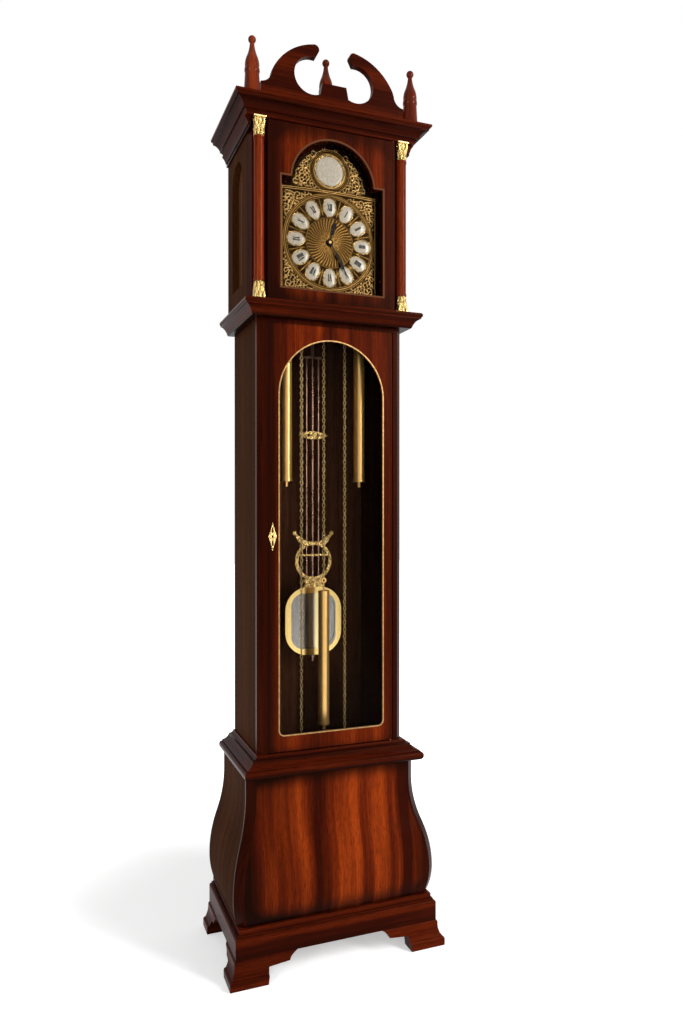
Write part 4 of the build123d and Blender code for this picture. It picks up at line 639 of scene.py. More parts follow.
# %% Glass
def clear_glass():
    """Thin clear glass: it lets light straight through and mirrors more at a low angle."""
    pane = Finish("pane_glass", Base_Color=(0.0, 0.0, 0.0), Roughness=0.02, Specular_IOR_Level=0.2)
    clear = pane.add("ShaderNodeBsdfTransparent", inputs={0: (0.975, 0.965, 0.945, 1)})
    mirror = pane.add("ShaderNodeFresnel", inputs={"IOR": 1.45})
    both = pane.add("ShaderNodeMixShader", inputs={0: mirror, 1: clear, 2: pane.shaded()})
    pane.plug(pane.output, "Surface", both)
    return pane.material


# %% Every slot of the record gets its finish
slot_finishes = {
    "brass": turned_brass(),
    "gilt": cast_gilt(),
    "copper_rod": metal("copper_rods", (0.50, 0.30, 0.22), 0.22),
    "steel": metal("steel", (0.55, 0.55, 0.57), 0.2),
    "bob_plate": silvered_bob(),
    "black_steel": blued_black(),
    "dial_gold": metal("dial_gold", (0.40, 0.26, 0.09), 0.35),
    "enamel": kiln_enamel(),
    "glass": clear_glass(),
}
for row in frame["record"]["subparts"]:
    if row["material_slot"] in slot_finishes:
        paint(row["node"], slot_finishes[row["material_slot"]])
paint("trunk_door_bead", metal("old_gilt", (0.34, 0.19, 0.075), 0.40, 0.2, 200.0))
print("finishes by slot:", len(slot_finishes))

# %% Gold for the carved pieces
# The ground's near black is painted shade in the hollows of the dial's carving and the leafwork.
GOLD_GROUND = (0.014, 0.007, 0.0025)
GOLD_SLOPE = (0.26, 0.14, 0.036)
GOLD_RIDGE = (0.66, 0.43, 0.165)
dial_carving = carved_gold("dial_carving", GOLD_GROUND, GOLD_SLOPE, GOLD_RIDGE)
leafwork_gold = carved_gold(
    "leafwork_gold", (0.05, 0.028, 0.008), (0.55, 0.36, 0.11), (0.95, 0.76, 0.38), rough=0.2
)
enamel, gilt = slot_finishes["enamel"], slot_finishes["gilt"]

# %% [markdown]
# ## From lists of corners to a finished piece
#
# The carved pieces are height maps and swept grids: their corners come from numpy and their faces
# from a loop. These helpers turn such lists into an object, turn its faces outwards, give it its
# finish, hang it on the body it moves with, and hide the plain CAD pieces it stands for.


# %% A new piece
def settle(piece, body, replaced=()):
    """Hang a finished piece on the body it rides on, and hide the CAD pieces it stands for."""
    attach(piece, body)
    if replaced:
        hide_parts(*replaced)
    print(piece.name, "faces:", len(piece.data.polygons))
    return piece


def plain_mesh(name, corners, faces):
    mesh = bpy.data.meshes.new(name)
    mesh.from_pydata([tuple(corner) for corner in corners], [], faces)
    return mesh


def mend(mesh, merge=0.0):
    """Turn the faces outwards, once corners nearer than merge are made one."""
    shape = bmesh.new()
    shape.from_mesh(mesh)
    if merge:
        bmesh.ops.remove_doubles(shape, verts=shape.verts, dist=merge)
    bmesh.ops.recalc_face_normals(shape, faces=shape.faces)
    shape.to_mesh(mesh)
    shape.free()


def stand_up(name, mesh, smooth=True):
    """An object for a finished mesh, at the origin."""
    mesh.polygons.foreach_set("use_smooth", [smooth] * len(mesh.polygons))
    piece = bpy.data.objects.new(name, mesh)
    scene.collection.objects.link(piece)
    return piece


def make_mesh(name, corners, faces, material, relief=None, smooth=True):
    mesh = plain_mesh(name, corners, faces)
    if relief is not None:
        mesh.attributes.new("relief", "FLOAT", "POINT").data.foreach_set("value", np.ravel(relief))
    mend(mesh, merge=0.001 * MM)
    mesh.materials.append(material)
    return stand_up(name, mesh, smooth)


def grid_faces(rows, columns, wrap=False):
    """Faces between neighbouring rows of corners; wrap joins the last column to the first."""
    across = columns if wrap else columns - 1
    faces = []
    for row in range(rows - 1):
        here, above = row * columns, (row + 1) * columns
        for column in range(across):
            after = (column + 1) % columns
            faces.append((here + column, here + after, above + after, above + column))
    return faces


# %% [markdown]
# ## The dial's carving
#
# A dial of this kind is pressed from sheet brass: scrolls and leaves fill the corners and the arch,
# rings run round the hours and the medallion, and fine rays fill the middle. It could be sculpted,
# but it is all ridges along curves, so a height map suits it better. Each ridge is stamped on a
# fine raster as a row of domes, the right half is mirrored to the left, and a mesh then reads its
# heights from the raster.


# %% Sizes of the dial
dial_corner, dial_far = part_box("dial_plate")
PLATE_FACE = -55.5 * MM  # the dial plate's front
DIAL_HALF = dial_far.x
DIAL_LOW, DIAL_TOP = dial_corner.z, dial_far.z
ARCH_RADIUS = 92 * MM
ARCH_Z = DIAL_TOP - ARCH_RADIUS
SHOULDER_Z = ARCH_Z + 1 * MM
DIAL_CENTRE = np.array((0.0, middle("centre_wheel")[2]))
HOUR_RADIUS = 79 * MM  # the hour plaques' middles
RAISED_RADIUS = 104.6 * MM  # the hour ring, which stands over the plate
SPANDREL_CLEAR = 111 * MM  # the corners' leaves stay outside this
MEDALLION = np.array((0.0, 1752 * MM))
MEDALLION_CLEAR = 50 * MM
RASTER = 0.5 * MM
FULL_RELIEF = 2.4 * MM


# %% A raster that is carved by strokes
class Carving:
    """Heights of carved work over a dial, in metres, on a fine raster."""

    def __init__(self):
        self.xs = np.arange(-DIAL_HALF, DIAL_HALF + RASTER, RASTER)
        self.zs = np.arange(DIAL_LOW, DIAL_TOP + RASTER, RASTER)
        self.x, self.z = np.meshgrid(self.xs, self.zs)
        self.height = np.zeros_like(self.x)

    def window(self, low, high, first, count):
        start = int((low - first) / RASTER)
        return slice(max(start, 0), min(int((high - first) / RASTER) + 2, count))

    def stroke(self, path, width, rise):
        """A rounded ridge on a path of (x, z); width and rise run from a first to a last value."""
        radii = np.linspace(*width, len(path)) / 2
        rises = np.linspace(*rise, len(path))
        for (x, z), radius, top in zip(path, radii, rises):
            rows = self.window(z - radius, z + radius, DIAL_LOW, len(self.zs))
            columns = self.window(x - radius, x + radius, -DIAL_HALF, len(self.xs))
            apart = (self.x[rows, columns] - x) ** 2 + (self.z[rows, columns] - z) ** 2
            dome = top * np.sqrt(np.clip(1 - apart / radius**2, 0, 1))
            self.height[rows, columns] = np.maximum(self.height[rows, columns], dome)

    def at(self, x, z):
        """Heights at points, read between the raster's corners."""
        across = np.clip((x + DIAL_HALF) / RASTER, 0, len(self.xs) - 1.001)
        up = np.clip((z - DIAL_LOW) / RASTER, 0, len(self.zs) - 1.001)
        column, row = across.astype(int), up.astype(int)
        right, above = across - column, up - row
        low = self.height[row, column] * (1 - right) + self.height[row, column + 1] * right
        high = self.height[row + 1, column] * (1 - right) + self.height[row + 1, column + 1] * right
        return low * (1 - above) + high * above


# %% Scrolls and rings
def polar(centre, radius, angle):
    """Points (x, z) at a radius and an angle from a centre."""
    x, z = centre[0] + radius * np.cos(angle), centre[1] + radius * np.sin(angle)
    return np.stack((x, z), axis=-1)


def scroll(carving, centre, radius, start, turns, hand, rise):
    """A curl that winds inwards, with leaf lobes along its outside."""
    share = np.linspace(0, 1, int(40 + radius / MM * 8 * turns))
    angle = start + hand * share * turns * 2 * math.pi
    path = polar(centre, radius * (1 - 0.82 * share), angle)
    carving.stroke(path, (2.6 * MM, 1.6 * MM), (rise, rise * 0.9))
    for step in range(3, int(len(path) * 0.62), 9):
        ahead = (path[step + 1] - path[step]) / np.linalg.norm(path[step + 1] - path[step])
        outward = (path[step] - centre) / np.linalg.norm(path[step] - centre)
        reach = radius * 0.42 * (1 - share[step])
        along = np.linspace(0, 1, 10)[:, None]
        lobe = path[step] + outward * reach * along - ahead * reach * 0.9 * along**2
        carving.stroke(lobe, (2.2 * MM, 0.8 * MM), (rise * 0.95, rise * 0.5))


def ring(carving, centre, radius, width, rise):
    count = int(2 * math.pi * radius / (0.4 * MM))
    path = polar(centre, radius, np.linspace(0, 2 * math.pi, count))
    carving.stroke(path, (width, width), (rise, rise))


def line(carving, start, end, width, rise, bow=0.0):
    share = np.linspace(0, 1, 400)[:, None]
    path = np.array(start) * (1 - share) + np.array(end) * share
    path[:, 1] += bow * np.sin(share[:, 0] * math.pi)
    carving.stroke(path, (width, width), (rise, rise))


# %% Leaves where the ground still shows
NEAR = np.array(((0, 0), (1, 0), (-1, 0), (0, 1), (0, -1))) * 1.7 * MM  # a leaf's elbow room


def scatter_leaves(carving, inside, low, high, count, draw):
    """Short curled leaves wherever the ground still shows."""
    for _ in range(count):
        centre = draw.uniform(low, high)
        angle, bend = draw.uniform(0, 2 * math.pi), draw.choice((-1, 1))
        if not inside(centre) or carving.at(*(centre + NEAR).T).max() > 0.3 * FULL_RELIEF:
            continue
        turn = angle + bend * np.linspace(0, 2.2, 12)
        size = draw.uniform(2.2, 4.6) * MM
        path = centre + np.stack((np.cos(turn), np.sin(turn)), axis=-1) * size
        if all(inside(point) for point in path):
            carving.stroke(path, (2.8 * MM, 1.2 * MM), (FULL_RELIEF, 0.6 * FULL_RELIEF))


def spandrel(point):
    """Inside a corner of the square part, outside the rings round the hours."""
    x, z = point
    clear = np.linalg.norm(point - DIAL_CENTRE) > SPANDREL_CLEAR
    return clear and 0 <= x < DIAL_HALF - 6 * MM and DIAL_LOW + 6 * MM < z < SHOULDER_Z - 14 * MM


def arch_ground(point):
    """Inside the arch, outside the rings round the medallion."""
    x, z = point
    in_arch = math.hypot(x, z - ARCH_Z) < ARCH_RADIUS - 5 * MM or z < SHOULDER_Z - 5 * MM
    clear = np.linalg.norm(point - MEDALLION) > MEDALLION_CLEAR
    return clear and in_arch and 0 <= x < DIAL_HALF - 6 * MM and z > SHOULDER_Z - 3 * MM


# %% Carve the dial
carving = Carving()
draw = np.random.default_rng(7)
for x, z, size, start, turns, hand in (  # places and sizes in mm, angles in radians
    (96, 1493, 13, 2.4, 1.3, 1), (73, 1485, 8, 0.4, 1.2, -1), (103, 1519, 8, 4.2, 1.2, -1),
    (96, 1681, 12, 3.9, 1.3, -1), (76, 1690, 7, 5.9, 1.1, 1), (104, 1659, 7, 2.1, 1.1, 1),
    (62, 1730, 13, 4.2, 1.3, 1), (60, 1762, 11, 5.2, 1.2, -1), (40, 1787, 9, 5.8, 1.2, -1),
    (16, 1800, 6, 0.4, 1.1, 1), (82, 1719, 6, 2.6, 1.1, -1),
):
    scroll(carving, np.array((x * MM, z * MM)), size * MM, start, turns, hand, FULL_RELIEF)
scatter_leaves(carving, spandrel, (0, DIAL_LOW), (DIAL_HALF, SHOULDER_Z), 9000, draw)
scatter_leaves(carving, arch_ground, (0, SHOULDER_Z - 4 * MM), (DIAL_HALF, DIAL_TOP), 5000, draw)
for hour in range(12):
    between = math.pi / 2 - (hour + 0.5) * math.pi / 6
    for lean in (-0.16, 0.0, 0.16):
        out = np.linspace(0, 1, 40)
        angle = between + lean * out**1.6
        reach = 62 * MM + out * (33 * MM - abs(lean) * 40 * MM)
        carving.stroke(polar(DIAL_CENTRE, reach, angle), (1.2 * MM, 2.4 * MM), (0.9 * MM, 1.1 * MM))
    for out in (93, 98):
        beads = polar(DIAL_CENTRE, out * MM, np.array((between - 0.12, between, between + 0.12)))
        for bead in beads:
            carving.stroke(bead[None], (2.6 * MM, 2.6 * MM), (1.0 * MM, 1.0 * MM))
carving.height = np.maximum(carving.height, carving.height[:, ::-1])
for radius, width, rise in ((56, 1.5, 0.8), (101.5, 1.4, 1.1), (105.5, 1.8, 1.9), (109, 1.2, 1.5)):
    ring(carving, DIAL_CENTRE, radius * MM, width * MM, rise * MM)
for radius, width, rise in ((37.5, 2.4, 2.2), (41, 1.0, 0.9), (45, 1.0, 0.9), (48, 1.8, 1.8)):
    ring(carving, MEDALLION, radius * MM, width * MM, rise * MM)
edge = DIAL_HALF - 3 * MM
for level, bow in ((SHOULDER_Z - 7 * MM, 3 * MM), (SHOULDER_Z - 11 * MM, 3 * MM)):
    line(carving, (-edge, level), (edge, level), 1.8 * MM, 2.0 * MM, bow)
line(carving, (-edge, DIAL_LOW + 3 * MM), (edge, DIAL_LOW + 3 * MM), 1.6 * MM, 1.4 * MM)
for side in (-edge, edge):
    line(carving, (side, DIAL_LOW + 3 * MM), (side, SHOULDER_Z - 3 * MM), 1.6 * MM, 1.4 * MM)


# %% Rays and petals in the middle
from_centre = np.hypot(carving.x - DIAL_CENTRE[0], carving.z - DIAL_CENTRE[1])
bearing = np.arctan2(carving.z - DIAL_CENTRE[1], carving.x - DIAL_CENTRE[0])
rays = 0.5 + 0.5 * np.sin(bearing * 44 + 2.5 * np.sin(from_centre / (7 * MM)))
carving.height = np.where(from_centre < 54 * MM, 0.10 * MM + 1.0 * MM * rays**2, carving.height)
for petal in range(12):
    along = np.linspace(0, 1, 30)
    for side in (-1, 1):
        angle = petal * math.pi / 6 + side * 0.20 * np.sin(along * math.pi)
        path = polar(DIAL_CENTRE, (8 + 17 * along) * MM, angle)
        carving.stroke(path, (1.5 * MM, 1.1 * MM), (1.5 * MM, 1.2 * MM))
print("carved raster:", carving.height.shape, "highest:", round(carving.height.max() / MM, 2), "mm")


# %% The mesh that reads the heights
def raised_ring(x, z):
    """The hour ring stands a millimetre over the plate."""
    out = np.hypot(x - DIAL_CENTRE[0], z - DIAL_CENTRE[1])
    return np.where(out < RAISED_RADIUS, 1.1 * MM, 0.15 * MM)


def carved_slab(levels, halves, step):
    """A closed slab: the carved front, a rim and a flat back, over rows of given half widths."""
    columns = int(2 * max(halves) / step) + 1
    share = np.linspace(-1, 1, columns)
    x = np.outer(halves, share)
    z = np.outer(levels, np.ones(columns))
    work = carving.at(x, z)
    front = np.stack((x, PLATE_FACE - raised_ring(x, z) - work, z), axis=-1).reshape(-1, 3)
    back = np.stack((x, np.full_like(x, PLATE_FACE + 0.3 * MM), z), axis=-1).reshape(-1, 3)
    rows = len(levels)
    first_row, last_row = range(columns), range((rows - 1) * columns, rows * columns)
    left = range(0, rows * columns, columns)
    right = range(columns - 1, rows * columns, columns)
    loop = [*first_row, *list(right)[1:], *list(last_row)[-2::-1], *list(left)[-2:0:-1]]
    rim = back[loop]
    corners = np.concatenate((front, rim))
    base = len(front)
    faces = grid_faces(rows, columns)
    for place, corner in enumerate(loop):
        after = (place + 1) % len(loop)
        faces.append((corner, loop[after], base + after, base + place))
    faces.append(tuple(range(base, base + len(loop))))
    return corners, faces, np.concatenate((work.ravel() / FULL_RELIEF, np.zeros(len(loop))))


STEP = 1.15 * MM
square_rows = np.linspace(DIAL_LOW, SHOULDER_Z, int((SHOULDER_Z - DIAL_LOW) / STEP))
first_turn = math.asin((SHOULDER_Z - ARCH_Z) / ARCH_RADIUS)
arch_turns = np.linspace(first_turn, math.radians(89.5), int(ARCH_RADIUS * math.pi / 2 / STEP))
slabs = (
    carved_slab(square_rows, np.full(len(square_rows), DIAL_HALF), STEP),
    carved_slab(ARCH_Z + ARCH_RADIUS * np.sin(arch_turns), ARCH_RADIUS * np.cos(arch_turns), STEP),
)
for name, (corners, faces, relief) in zip(("dial_relief", "dial_arch_relief"), slabs):
    settle(make_mesh(name, corners, faces, dial_carving, relief), "case")

# %% [markdown]
# ## Things that repeat
#
# Twelve hour plaques stand on a circle, and a chain is one link again and again along a line, each
# link turned a quarter about the chain. That is what Geometry Nodes is for. A Recipe is the graph
# of such a tree: it takes named sizes, and follow() turns its result into a plain mesh.


# %% A recipe for what repeats
class Recipe(Graph):
    """A Geometry Nodes tree with named inputs."""

    def __init__(self, name, **sizes):
        super().__init__(bpy.data.node_groups.new(name, "GeometryNodeTree"))
        self.sizes = sizes
        plan = self.tree.interface
        plan.new_socket("Geometry", in_out="INPUT", socket_type="NodeSocketGeometry")
        for size, value in sizes.items():
            kind = "NodeSocketInt" if isinstance(value, int) else "NodeSocketFloat"
            plan.new_socket(size, in_out="INPUT", socket_type=kind).default_value = value
        plan.new_socket("Geometry", in_out="OUTPUT", socket_type="NodeSocketGeometry")
        start = self.node("NodeGroupInput")
        self.start = {socket.name: Wire(self, socket) for socket in start.outputs if socket.name}

    def end(self, shape, material):
        """Realise the copies, give them their finish and hand them out."""
        real = self.add("GeometryNodeRealizeInstances", inputs={0: shape})
        painted = self.add("GeometryNodeSetMaterial", inputs={0: real, "Material": material})
        self.node("NodeGroupOutput", inputs={0: painted})
        return self

    def follow(self, name, guide, **sizes):
        """The recipe worked on a guide mesh, as a plain mesh object at the origin."""
        source = bpy.data.objects.new(name + "_guide", guide)
        scene.collection.objects.link(source)
        live = source.modifiers.new("recipe", "NODES")
        live.node_group = self.tree
        for socket in self.tree.interface.items_tree:
            if socket.in_out == "INPUT" and socket.name in self.sizes:
                live[socket.identifier] = sizes.get(socket.name, self.sizes[socket.name])
        result = source.evaluated_get(bpy.context.evaluated_depsgraph_get())
        mesh = bpy.data.meshes.new_from_object(result)
        mesh.name = name
        bpy.data.objects.remove(source)
        mend(mesh)
        return stand_up(name, mesh)


# %% Copies round the dial
def round_the_dial(name, material):
    """Copies of the guide on a circle, each turned so that its Y runs outwards, stood upright."""
    recipe = Recipe(name, Count=12, Radius=HOUR_RADIUS, Height=float(DIAL_CENTRE[1]))
    index = recipe.add("GeometryNodeInputIndex")
    count, reach = recipe.start["Count"], recipe.start["Radius"]
    angle = index * (2 * math.pi) / count
    spot = recipe.point(angle.sine() * reach, angle.maths("COSINE") * reach, 0.0)
    spots = recipe.add("GeometryNodePoints", inputs={"Count": count, "Position": spot})
    turned = recipe.point(0.0, 0.0, angle * -1.0)
    copies = recipe.add(
        "GeometryNodeInstanceOnPoints",
        inputs={"Points": spots, "Instance": recipe.start["Geometry"], "Rotation": turned},
    )
    upright = recipe.add(
        "GeometryNodeTransform",
        inputs={
            0: copies,
            "Translation": recipe.point(0.0, 0.0, recipe.start["Height"]),
            "Rotation": (math.pi / 2, 0.0, 0.0),
        },
    )
    return recipe.end(upright, material)


# %% Plaques and their rims
PLAQUE_TANGENT, PLAQUE_OUT = 17 * MM, 22.5 * MM  # half sizes over the rim
RIM = 2.0 * MM


def egg(half_tangent, half_out, count=48):
    """An oval, a little wider at its outer end."""
    turn = np.linspace(0, 2 * math.pi, count, endpoint=False)
    tangent = half_tangent * np.cos(turn) * (1 + 0.10 * np.sin(turn))
    return np.stack((tangent, half_out * np.sin(turn)), axis=-1)


def dome(name, outline, low, high, rings=7):
    """A closed shallow dome over an outline; its flat back is at low, and Z is its height."""
    count = len(outline)
    share = np.linspace(1.0, 0.12, rings)
    levels = low + (high - low) * (0.35 + 0.65 * (1 - share**2))
    rows = [np.column_stack((outline, np.full(count, low)))]
    for size, level in zip(share, levels):
        rows.append(np.column_stack((outline * size, np.full(count, level))))
    faces = grid_faces(len(rows), count, wrap=True)
    faces += [tuple(range(count)), tuple(range((len(rows) - 1) * count, len(rows) * count))]
    return plain_mesh(name, np.concatenate(rows), faces)


def rim_band(name, inner, outer, low, high):
    """A closed rounded rim between two outlines."""
    count = len(inner)
    crest = (inner + outer) / 2
    shoulder = high - 0.5 * MM
    profile = ((outer, low), (outer, shoulder), (crest, high), (inner, shoulder), (inner, low))
    rows = [np.column_stack((outline, np.full(count, level))) for outline, level in profile]
    rows.append(rows[0])
    mesh = plain_mesh(name, np.concatenate(rows), grid_faces(len(rows), count, wrap=True))
    mend(mesh, merge=0.0001 * MM)
    return mesh


# %% Twelve plaques, and the medallion
UNDER = -PLATE_FACE + 0.4 * MM  # the plaques' backs, as a distance in front of Y = 0
SEAT = 0.2 * MM  # how far a rim laps over its plaque
plaque = dome("plaque", egg(PLAQUE_TANGENT - RIM, PLAQUE_OUT - RIM), UNDER, -PLATE_FACE + 3.2 * MM)
plaques = round_the_dial("hour_plaque_recipe", enamel).follow("hour_plaques", plaque)
settle(plaques, "case", ["dial_plaques"])
rim_inside = egg(PLAQUE_TANGENT - RIM - SEAT, PLAQUE_OUT - RIM - SEAT)
rim_outside = egg(PLAQUE_TANGENT, PLAQUE_OUT)
rim = rim_band("rim", rim_inside, rim_outside, UNDER, -PLATE_FACE + 2.7 * MM)
settle(round_the_dial("plaque_rim_recipe", gilt).follow("hour_plaque_rims", rim), "case")


def on_the_dial(mesh, centre):
    """Stand a mesh that lies in XY upright on the dial, at a centre (x, z)."""
    upright = Matrix.Rotation(math.pi / 2, 4, "X")
    mesh.transform(Matrix.Translation((centre[0], 0, centre[1])) @ upright)
    return [corner.co for corner in mesh.vertices], [tuple(face.vertices) for face in mesh.polygons]


circle = polar((0, 0), 1.0, np.linspace(0, 2 * math.pi, 72, endpoint=False))
disc = dome("disc", circle * 33.5 * MM, UNDER, -PLATE_FACE + 2.6 * MM)
settle(make_mesh("medallion", *on_the_dial(disc, MEDALLION), enamel), "case")
hoop = rim_band("hoop", circle * 33.2 * MM, circle * 36.5 * MM, UNDER, -PLATE_FACE + 2.9 * MM)
settle(make_mesh("medallion_rim", *on_the_dial(hoop, MEDALLION), gilt), "case")

# %% [markdown]
# ## Roman hours
#
# The hours are painted in the Roman way: each letter is a few broad and thin strokes with short
# serifs. So each letter is a list of strokes, and every stroke is a thin flat bar. They are laid
# out upright and then turned to stand round the dial, their feet towards the centre.

# %% Letters as lists of strokes
LETTER_HIGH = 15 * MM
BROAD, THIN = 2.4 * MM, 1.1 * MM
LONGEST = 15.5 * MM  # a wider numeral is squeezed to this
LETTERS = {  # width, then strokes: x0, z0, x1, z1 as shares of width and height, and breadth
    "I": (2.6 * MM, [(0.5, 0, 0.5, 1, BROAD), (0.1, 0, 0.9, 0, THIN), (0.1, 1, 0.9, 1, THIN)]),
    "V": (6.2 * MM, [(0.5, 0, 0.15, 1, BROAD), (0.5, 0, 0.85, 1, THIN),
                     (0, 1, 0.35, 1, THIN), (0.7, 1, 1, 1, THIN)]),
    "X": (6.2 * MM, [(0.85, 0, 0.15, 1, BROAD), (0.15, 0, 0.85, 1, THIN), (0, 0, 0.3, 0, THIN),
                     (0.7, 0, 1, 0, THIN), (0, 1, 0.3, 1, THIN), (0.7, 1, 1, 1, THIN)]),
}
BOX_FACES = ((0, 1, 2, 3), (4, 5, 6, 7), (0, 1, 5, 4), (1, 2, 6, 5), (2, 3, 7, 6), (3, 0, 4, 7))
HOURS = ("XII", "I", "II", "III", "IIII", "V", "VI", "VII", "VIII", "IX", "X", "XI")
NUMERAL_FACE = -PLATE_FACE + 3.3 * MM
NUMERAL_BACK = -PLATE_FACE + 2.3 * MM


# %% A numeral's strokes
def bar(start, end, breadth):
    """The four corners of a stroke."""
    start, end = np.array(start), np.array(end)
    along = (end - start) / np.linalg.norm(end - start)
    side = np.array((-along[1], along[0])) * breadth / 2
    return [start - side, end - side, end + side, start + side]


def numeral(text):
    """The strokes of one numeral, centred, in a space squeezed to fit its plaque."""
    width = sum(LETTERS[letter][0] for letter in text)
    squeeze = min(1.0, LONGEST / width)
    left = -width / 2
    for letter in text:
        letter_width, strokes = LETTERS[letter]
        for x0, z0, x1, z1, breadth in strokes:
            start = ((left + x0 * letter_width) * squeeze, (z0 - 0.5) * LETTER_HIGH)
            end = ((left + x1 * letter_width) * squeeze, (z1 - 0.5) * LETTER_HIGH)
            yield bar(start, end, breadth * max(squeeze, 0.8))
        left += letter_width


# %% Twelve numerals round the dial
corners, faces = [], []
for hour, text in enumerate(HOURS):
    angle = hour * math.pi / 6
    turn = np.array(((math.cos(angle), math.sin(angle)), (-math.sin(angle), math.cos(angle))))
    for stroke in numeral(text):
        flat = [turn @ (corner + (0, HOUR_RADIUS)) + DIAL_CENTRE for corner in stroke]
        first = len(corners)
        corners += [(x, -depth, z) for depth in (NUMERAL_BACK, NUMERAL_FACE) for x, z in flat]
        faces += [tuple(first + i for i in face) for face in BOX_FACES]
fired_black = Finish("numeral_black", Roughness=0.4)
speckle = fired_black.noise(fired_black.place(), 700.0)
fired_black.set(Base_Color=fired_black.mix(speckle, (0.006, 0.005, 0.008), (0.03, 0.026, 0.03)))
numerals = make_mesh("hour_numerals", corners, faces, fired_black.material, smooth=False)
settle(numerals, "case")

# %% [markdown]
# ## Leafwork on the columns
#
# Each column ends in a cast mount: a bell that grows from the round shaft to a square block,
# wrapped in two tiers of acanthus. It is one tube of corners whose section changes from round to
# square on the way up, and the leaves are carved into it by a formula.

# %% Sizes and leaves of a mount
mount_low, mount_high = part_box("column_mounts")
shaft_low, shaft_high = (corner.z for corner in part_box("columns"))
PLATE_HALF = 14.2 * MM  # half the square plate
BELL_RADIUS = 12.2 * MM
MOUNT_X = mount_high.x - PLATE_HALF
MOUNT_Y = middle("column_mounts")[1]
MOUNT_AROUND, MOUNT_ROWS = 112, 58
LEAF_DEPTH = 2.3 * MM


def squared(angle, half, sharpness):
    """Distance to a rounded square: sharpness 2 gives a circle, and more gives squarer corners."""
    c, s = np.abs(np.cos(angle)), np.abs(np.sin(angle))
    return half / (c**sharpness + s**sharpness) ** (1 / sharpness)


def leaf_tier(angle, share, low, high, count, shift):
    """Leaves that spring at low and end at high: 1 on a leaf's body, 0 between leaves."""
    rise = np.clip((share - low) / (high - low), 0, 1)
    across = np.mod(angle * count / (2 * math.pi) + shift, 1.0) - 0.5
    half = 0.47 * np.sqrt(np.clip(1 - rise**3, 0, 1)) * (0.80 + 0.20 * np.cos(rise * 22))
    body = np.clip(1 - (np.abs(across) / np.maximum(half, 1e-3)) ** 3, 0, 1)
    vein = 0.72 + 0.28 * np.cos(across * 30 + rise * 4)
    inside = (share >= low) & (share <= high)
    return np.where(inside, body * vein * (0.6 + 0.4 * rise), 0.0)


# %% One mount
def mount(bottom, top, centre_x):
    """Corners, faces and relief of one mount; bottom is at the shaft, top at the square plate."""
    share = np.linspace(0, 1, MOUNT_ROWS)[:, None]
    angle = np.linspace(0, 2 * math.pi, MOUNT_AROUND, endpoint=False)[None, :]
    spread = np.clip((share - 0.15) / 0.75, 0, 1) ** 1.6
    radius = squared(angle, BELL_RADIUS + 1.5 * MM * spread, 2 + 5 * spread)
    leaves = np.maximum(
        leaf_tier(angle, share, 0.04, 0.55, 8, 0.0), leaf_tier(angle, share, 0.40, 0.92, 8, 0.5)
    )
    scroll_eye = np.exp(-(((share - 0.80) / 0.07) ** 2)) * np.cos(angle * 4 + math.pi) ** 2
    across = np.sin(angle * 16 + 2.5 * np.sin(share * 26))
    upwards = np.sin(share * 44 + 2 * np.sin(angle * 4))
    curls = across * upwards
    relief = np.clip(np.maximum(leaves, scroll_eye) * 0.75 + 0.45 * curls, 0, 1)
    plate = share > 0.93
    radius = np.where(plate, squared(angle, PLATE_HALF, 14), radius - LEAF_DEPTH * (1 - relief))
    relief = np.where(plate, 0.85, relief)
    x = centre_x + radius * np.cos(angle)
    y = MOUNT_Y + radius * np.sin(angle)
    z = bottom + (top - bottom) * share + 0 * angle
    corners = np.stack((x, y, z), axis=-1).reshape(-1, 3)
    faces = grid_faces(MOUNT_ROWS, MOUNT_AROUND, wrap=True)
    last = (MOUNT_ROWS - 1) * MOUNT_AROUND
    faces += [tuple(range(MOUNT_AROUND)), tuple(range(last, last + MOUNT_AROUND))]
    return corners, faces, relief.ravel()


# %% Four mounts
corners, faces, relief = [], [], []
for side in (-MOUNT_X, MOUNT_X):
    for bottom, top in ((shaft_high, mount_high.z), (shaft_low, mount_low.z)):
        new_corners, new_faces, new_relief = mount(bottom, top, side)
        faces += [tuple(len(corners) + corner for corner in face) for face in new_faces]
        corners += list(new_corners)
        relief += list(new_relief)
leafwork = make_mesh("column_leafwork", corners, faces, leafwork_gold, np.array(relief))
settle(leafwork, "case", ["column_mounts"])

# %% [markdown]
# ## The chains
#
# Three chains hang over three sprockets. Each has a stretch that moves with its weight, a stretch
# that moves with its free end, and two that stand still beside the sprocket, joined by the turn
# over it. All are worked by one recipe: a guide line is cut into steps of one pitch, and an oval
# link is set on each, turned a quarter from the one before. The quarter turns are counted by
# height, so that the links of two stretches lie in each other where they pass. A link is a few
# dozen faces, because there are hundreds of them.

# %% Wire and pitch of the chains
PITCH = 8 * MM
LINK_WIDTH, LINK_WIRE = 8.4 * MM, 2.0 * MM
side_y, side_z = middle("chime_chain")[1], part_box("chime_chain")[1].z  # z is the sprocket's arbor
time_y, time_z = middle("time_chain")[1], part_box("time_chain")[1].z


def chain_brass():
    """Bright drawn wire, dull where links rub."""
    finish = Finish("chain_gold", Metallic=0.35)
    rub = finish.noise(finish.place(), 420.0, detail=2.0)
    finish.set(Base_Color=finish.mix(rub.rise(0.40, 0.62), (0.45, 0.24, 0.06), (1.0, 0.78, 0.38)))
    finish.set(Roughness=rub * 0.2 + 0.22)
    return finish.material


chain_gold = chain_brass()


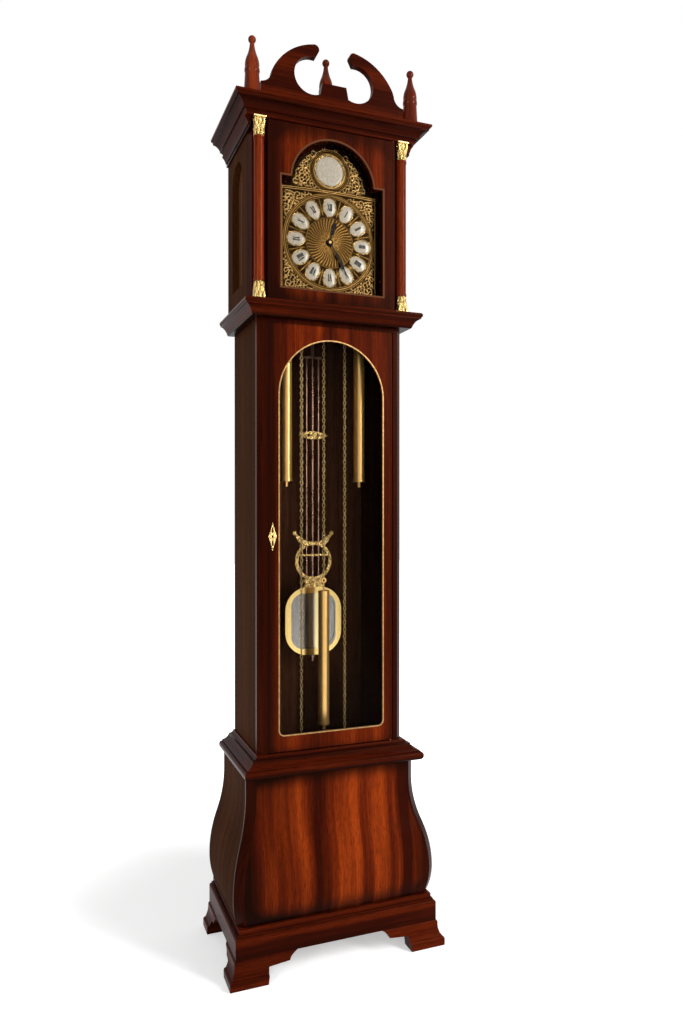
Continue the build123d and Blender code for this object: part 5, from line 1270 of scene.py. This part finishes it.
# %% One recipe for every chain
def chain_recipe():
    """Oval links on a guide line, each a quarter turn from the one before."""
    recipe = Recipe("chain_recipe", Pitch=PITCH, Width=LINK_WIDTH, Wire=LINK_WIRE, Level=side_z)
    pitch, width, wire = (recipe.start[name] for name in ("Pitch", "Width", "Wire"))
    round_curve = "GeometryNodeCurvePrimitiveCircle"
    hoop = recipe.add(round_curve, inputs={"Resolution": 8, "Radius": 0.5})
    section = recipe.add(round_curve, inputs={"Resolution": 5, "Radius": wire * 0.5})
    size = recipe.point(width - wire, pitch + wire, 1.0)
    upright = (math.pi / 2, 0.0, 0.0)
    oval = recipe.add("GeometryNodeTransform", inputs={0: hoop, "Scale": size, "Rotation": upright})
    link = recipe.add("GeometryNodeCurveToMesh", inputs={"Curve": oval, "Profile Curve": section})
    run = recipe.add("GeometryNodeMeshToCurve", inputs={0: recipe.start["Geometry"]})
    spacing = {"Curve": run, "Length": pitch}
    cut = recipe.node("GeometryNodeCurveToPoints", {"mode": "LENGTH"}, spacing)
    copies = recipe.add(
        "GeometryNodeInstanceOnPoints",
        inputs={
            "Points": Wire(recipe, cut.outputs["Points"]),
            "Instance": link,
            "Rotation": Wire(recipe, cut.outputs["Rotation"]),
        },
    )
    _, _, height = recipe.split(recipe.add("GeometryNodeInputPosition"))
    step = ((height - recipe.start["Level"]) / pitch).maths("ROUND")
    quarter = recipe.point(0.0, 0.0, step * (math.pi / 2))
    twisted = recipe.add("GeometryNodeRotateInstances", inputs={0: copies, "Rotation": quarter})
    return recipe.end(twisted, chain_gold)


chains = chain_recipe()


# %% A chain along its guide lines
def straight(x, y, low, high):
    """An upright guide line."""
    return [(x, y, low), (x, y, high)]


def half_turn(centre_x, y, z, radius, steps=40):
    """A guide line over the top of a sprocket."""
    turns = np.linspace(math.pi, 0, steps)
    return [(centre_x + radius * math.cos(turn), y, z + radius * math.sin(turn)) for turn in turns]


def chain(name, body, runs, thin=1.0, replaced=()):
    """One chain piece from its runs; a thinner one hides inside another where they pass."""
    points, edges = [], []
    for run in runs:
        edges += [(len(points) + step, len(points) + step + 1) for step in range(len(run) - 1)]
        points += run
    guide = bpy.data.meshes.new(name)
    guide.from_pydata(points, edges, [])
    piece = chains.follow(name, guide, Width=LINK_WIDTH * thin, Wire=LINK_WIRE * thin)
    settle(piece, body, replaced)


# %% The runs of the three chains
# Each train has the y and z of its arbor, and then how many links below the arbor its runs reach:
# both standing runs, the bottom and top of the weight's run, and those of the tail.
SIDE_COUNTS = (54, 83), (16, 0), (137, 79)
TRAINS = {
    "strike": (side_y, side_z, *SIDE_COUNTS),
    "chime": (side_y, side_z, *SIDE_COUNTS),
    "time": (time_y, time_z, (59, 62), (87, 53), (68, -8)),
}
standing = []
for train, (y, z, (weight_links, tail_links), _, _) in TRAINS.items():
    weight_x, tail_x = middle(f"{train}_chain")[0], middle(f"{train}_chain_tail")[0]
    standing += [
        straight(weight_x, y, z - weight_links * PITCH, z),
        half_turn((weight_x + tail_x) / 2, y, z, abs(weight_x - tail_x) / 2),
        straight(tail_x, y, z - tail_links * PITCH, z),
    ]
chain("standing_chains", "case", standing, replaced=["chain_loops"])
for train, (y, z, _, weight_run, tail_run) in TRAINS.items():
    for node, (below, above), body in (
        (f"{train}_chain", weight_run, f"{train}_weight"),
        (f"{train}_chain_tail", tail_run, f"{train}_tail"),
    ):
        run = straight(middle(node)[0], y, z - below * PITCH, z - above * PITCH)
        chain(f"{node}_links", body, [run], 0.94, [node])

# %% The box of the CAD model and the box of what is shown
shown_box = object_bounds()
boxes = {"cad": cad_box, "visual": shown_box}
{name: [list(corner) for corner in box] for name, box in boxes.items()}
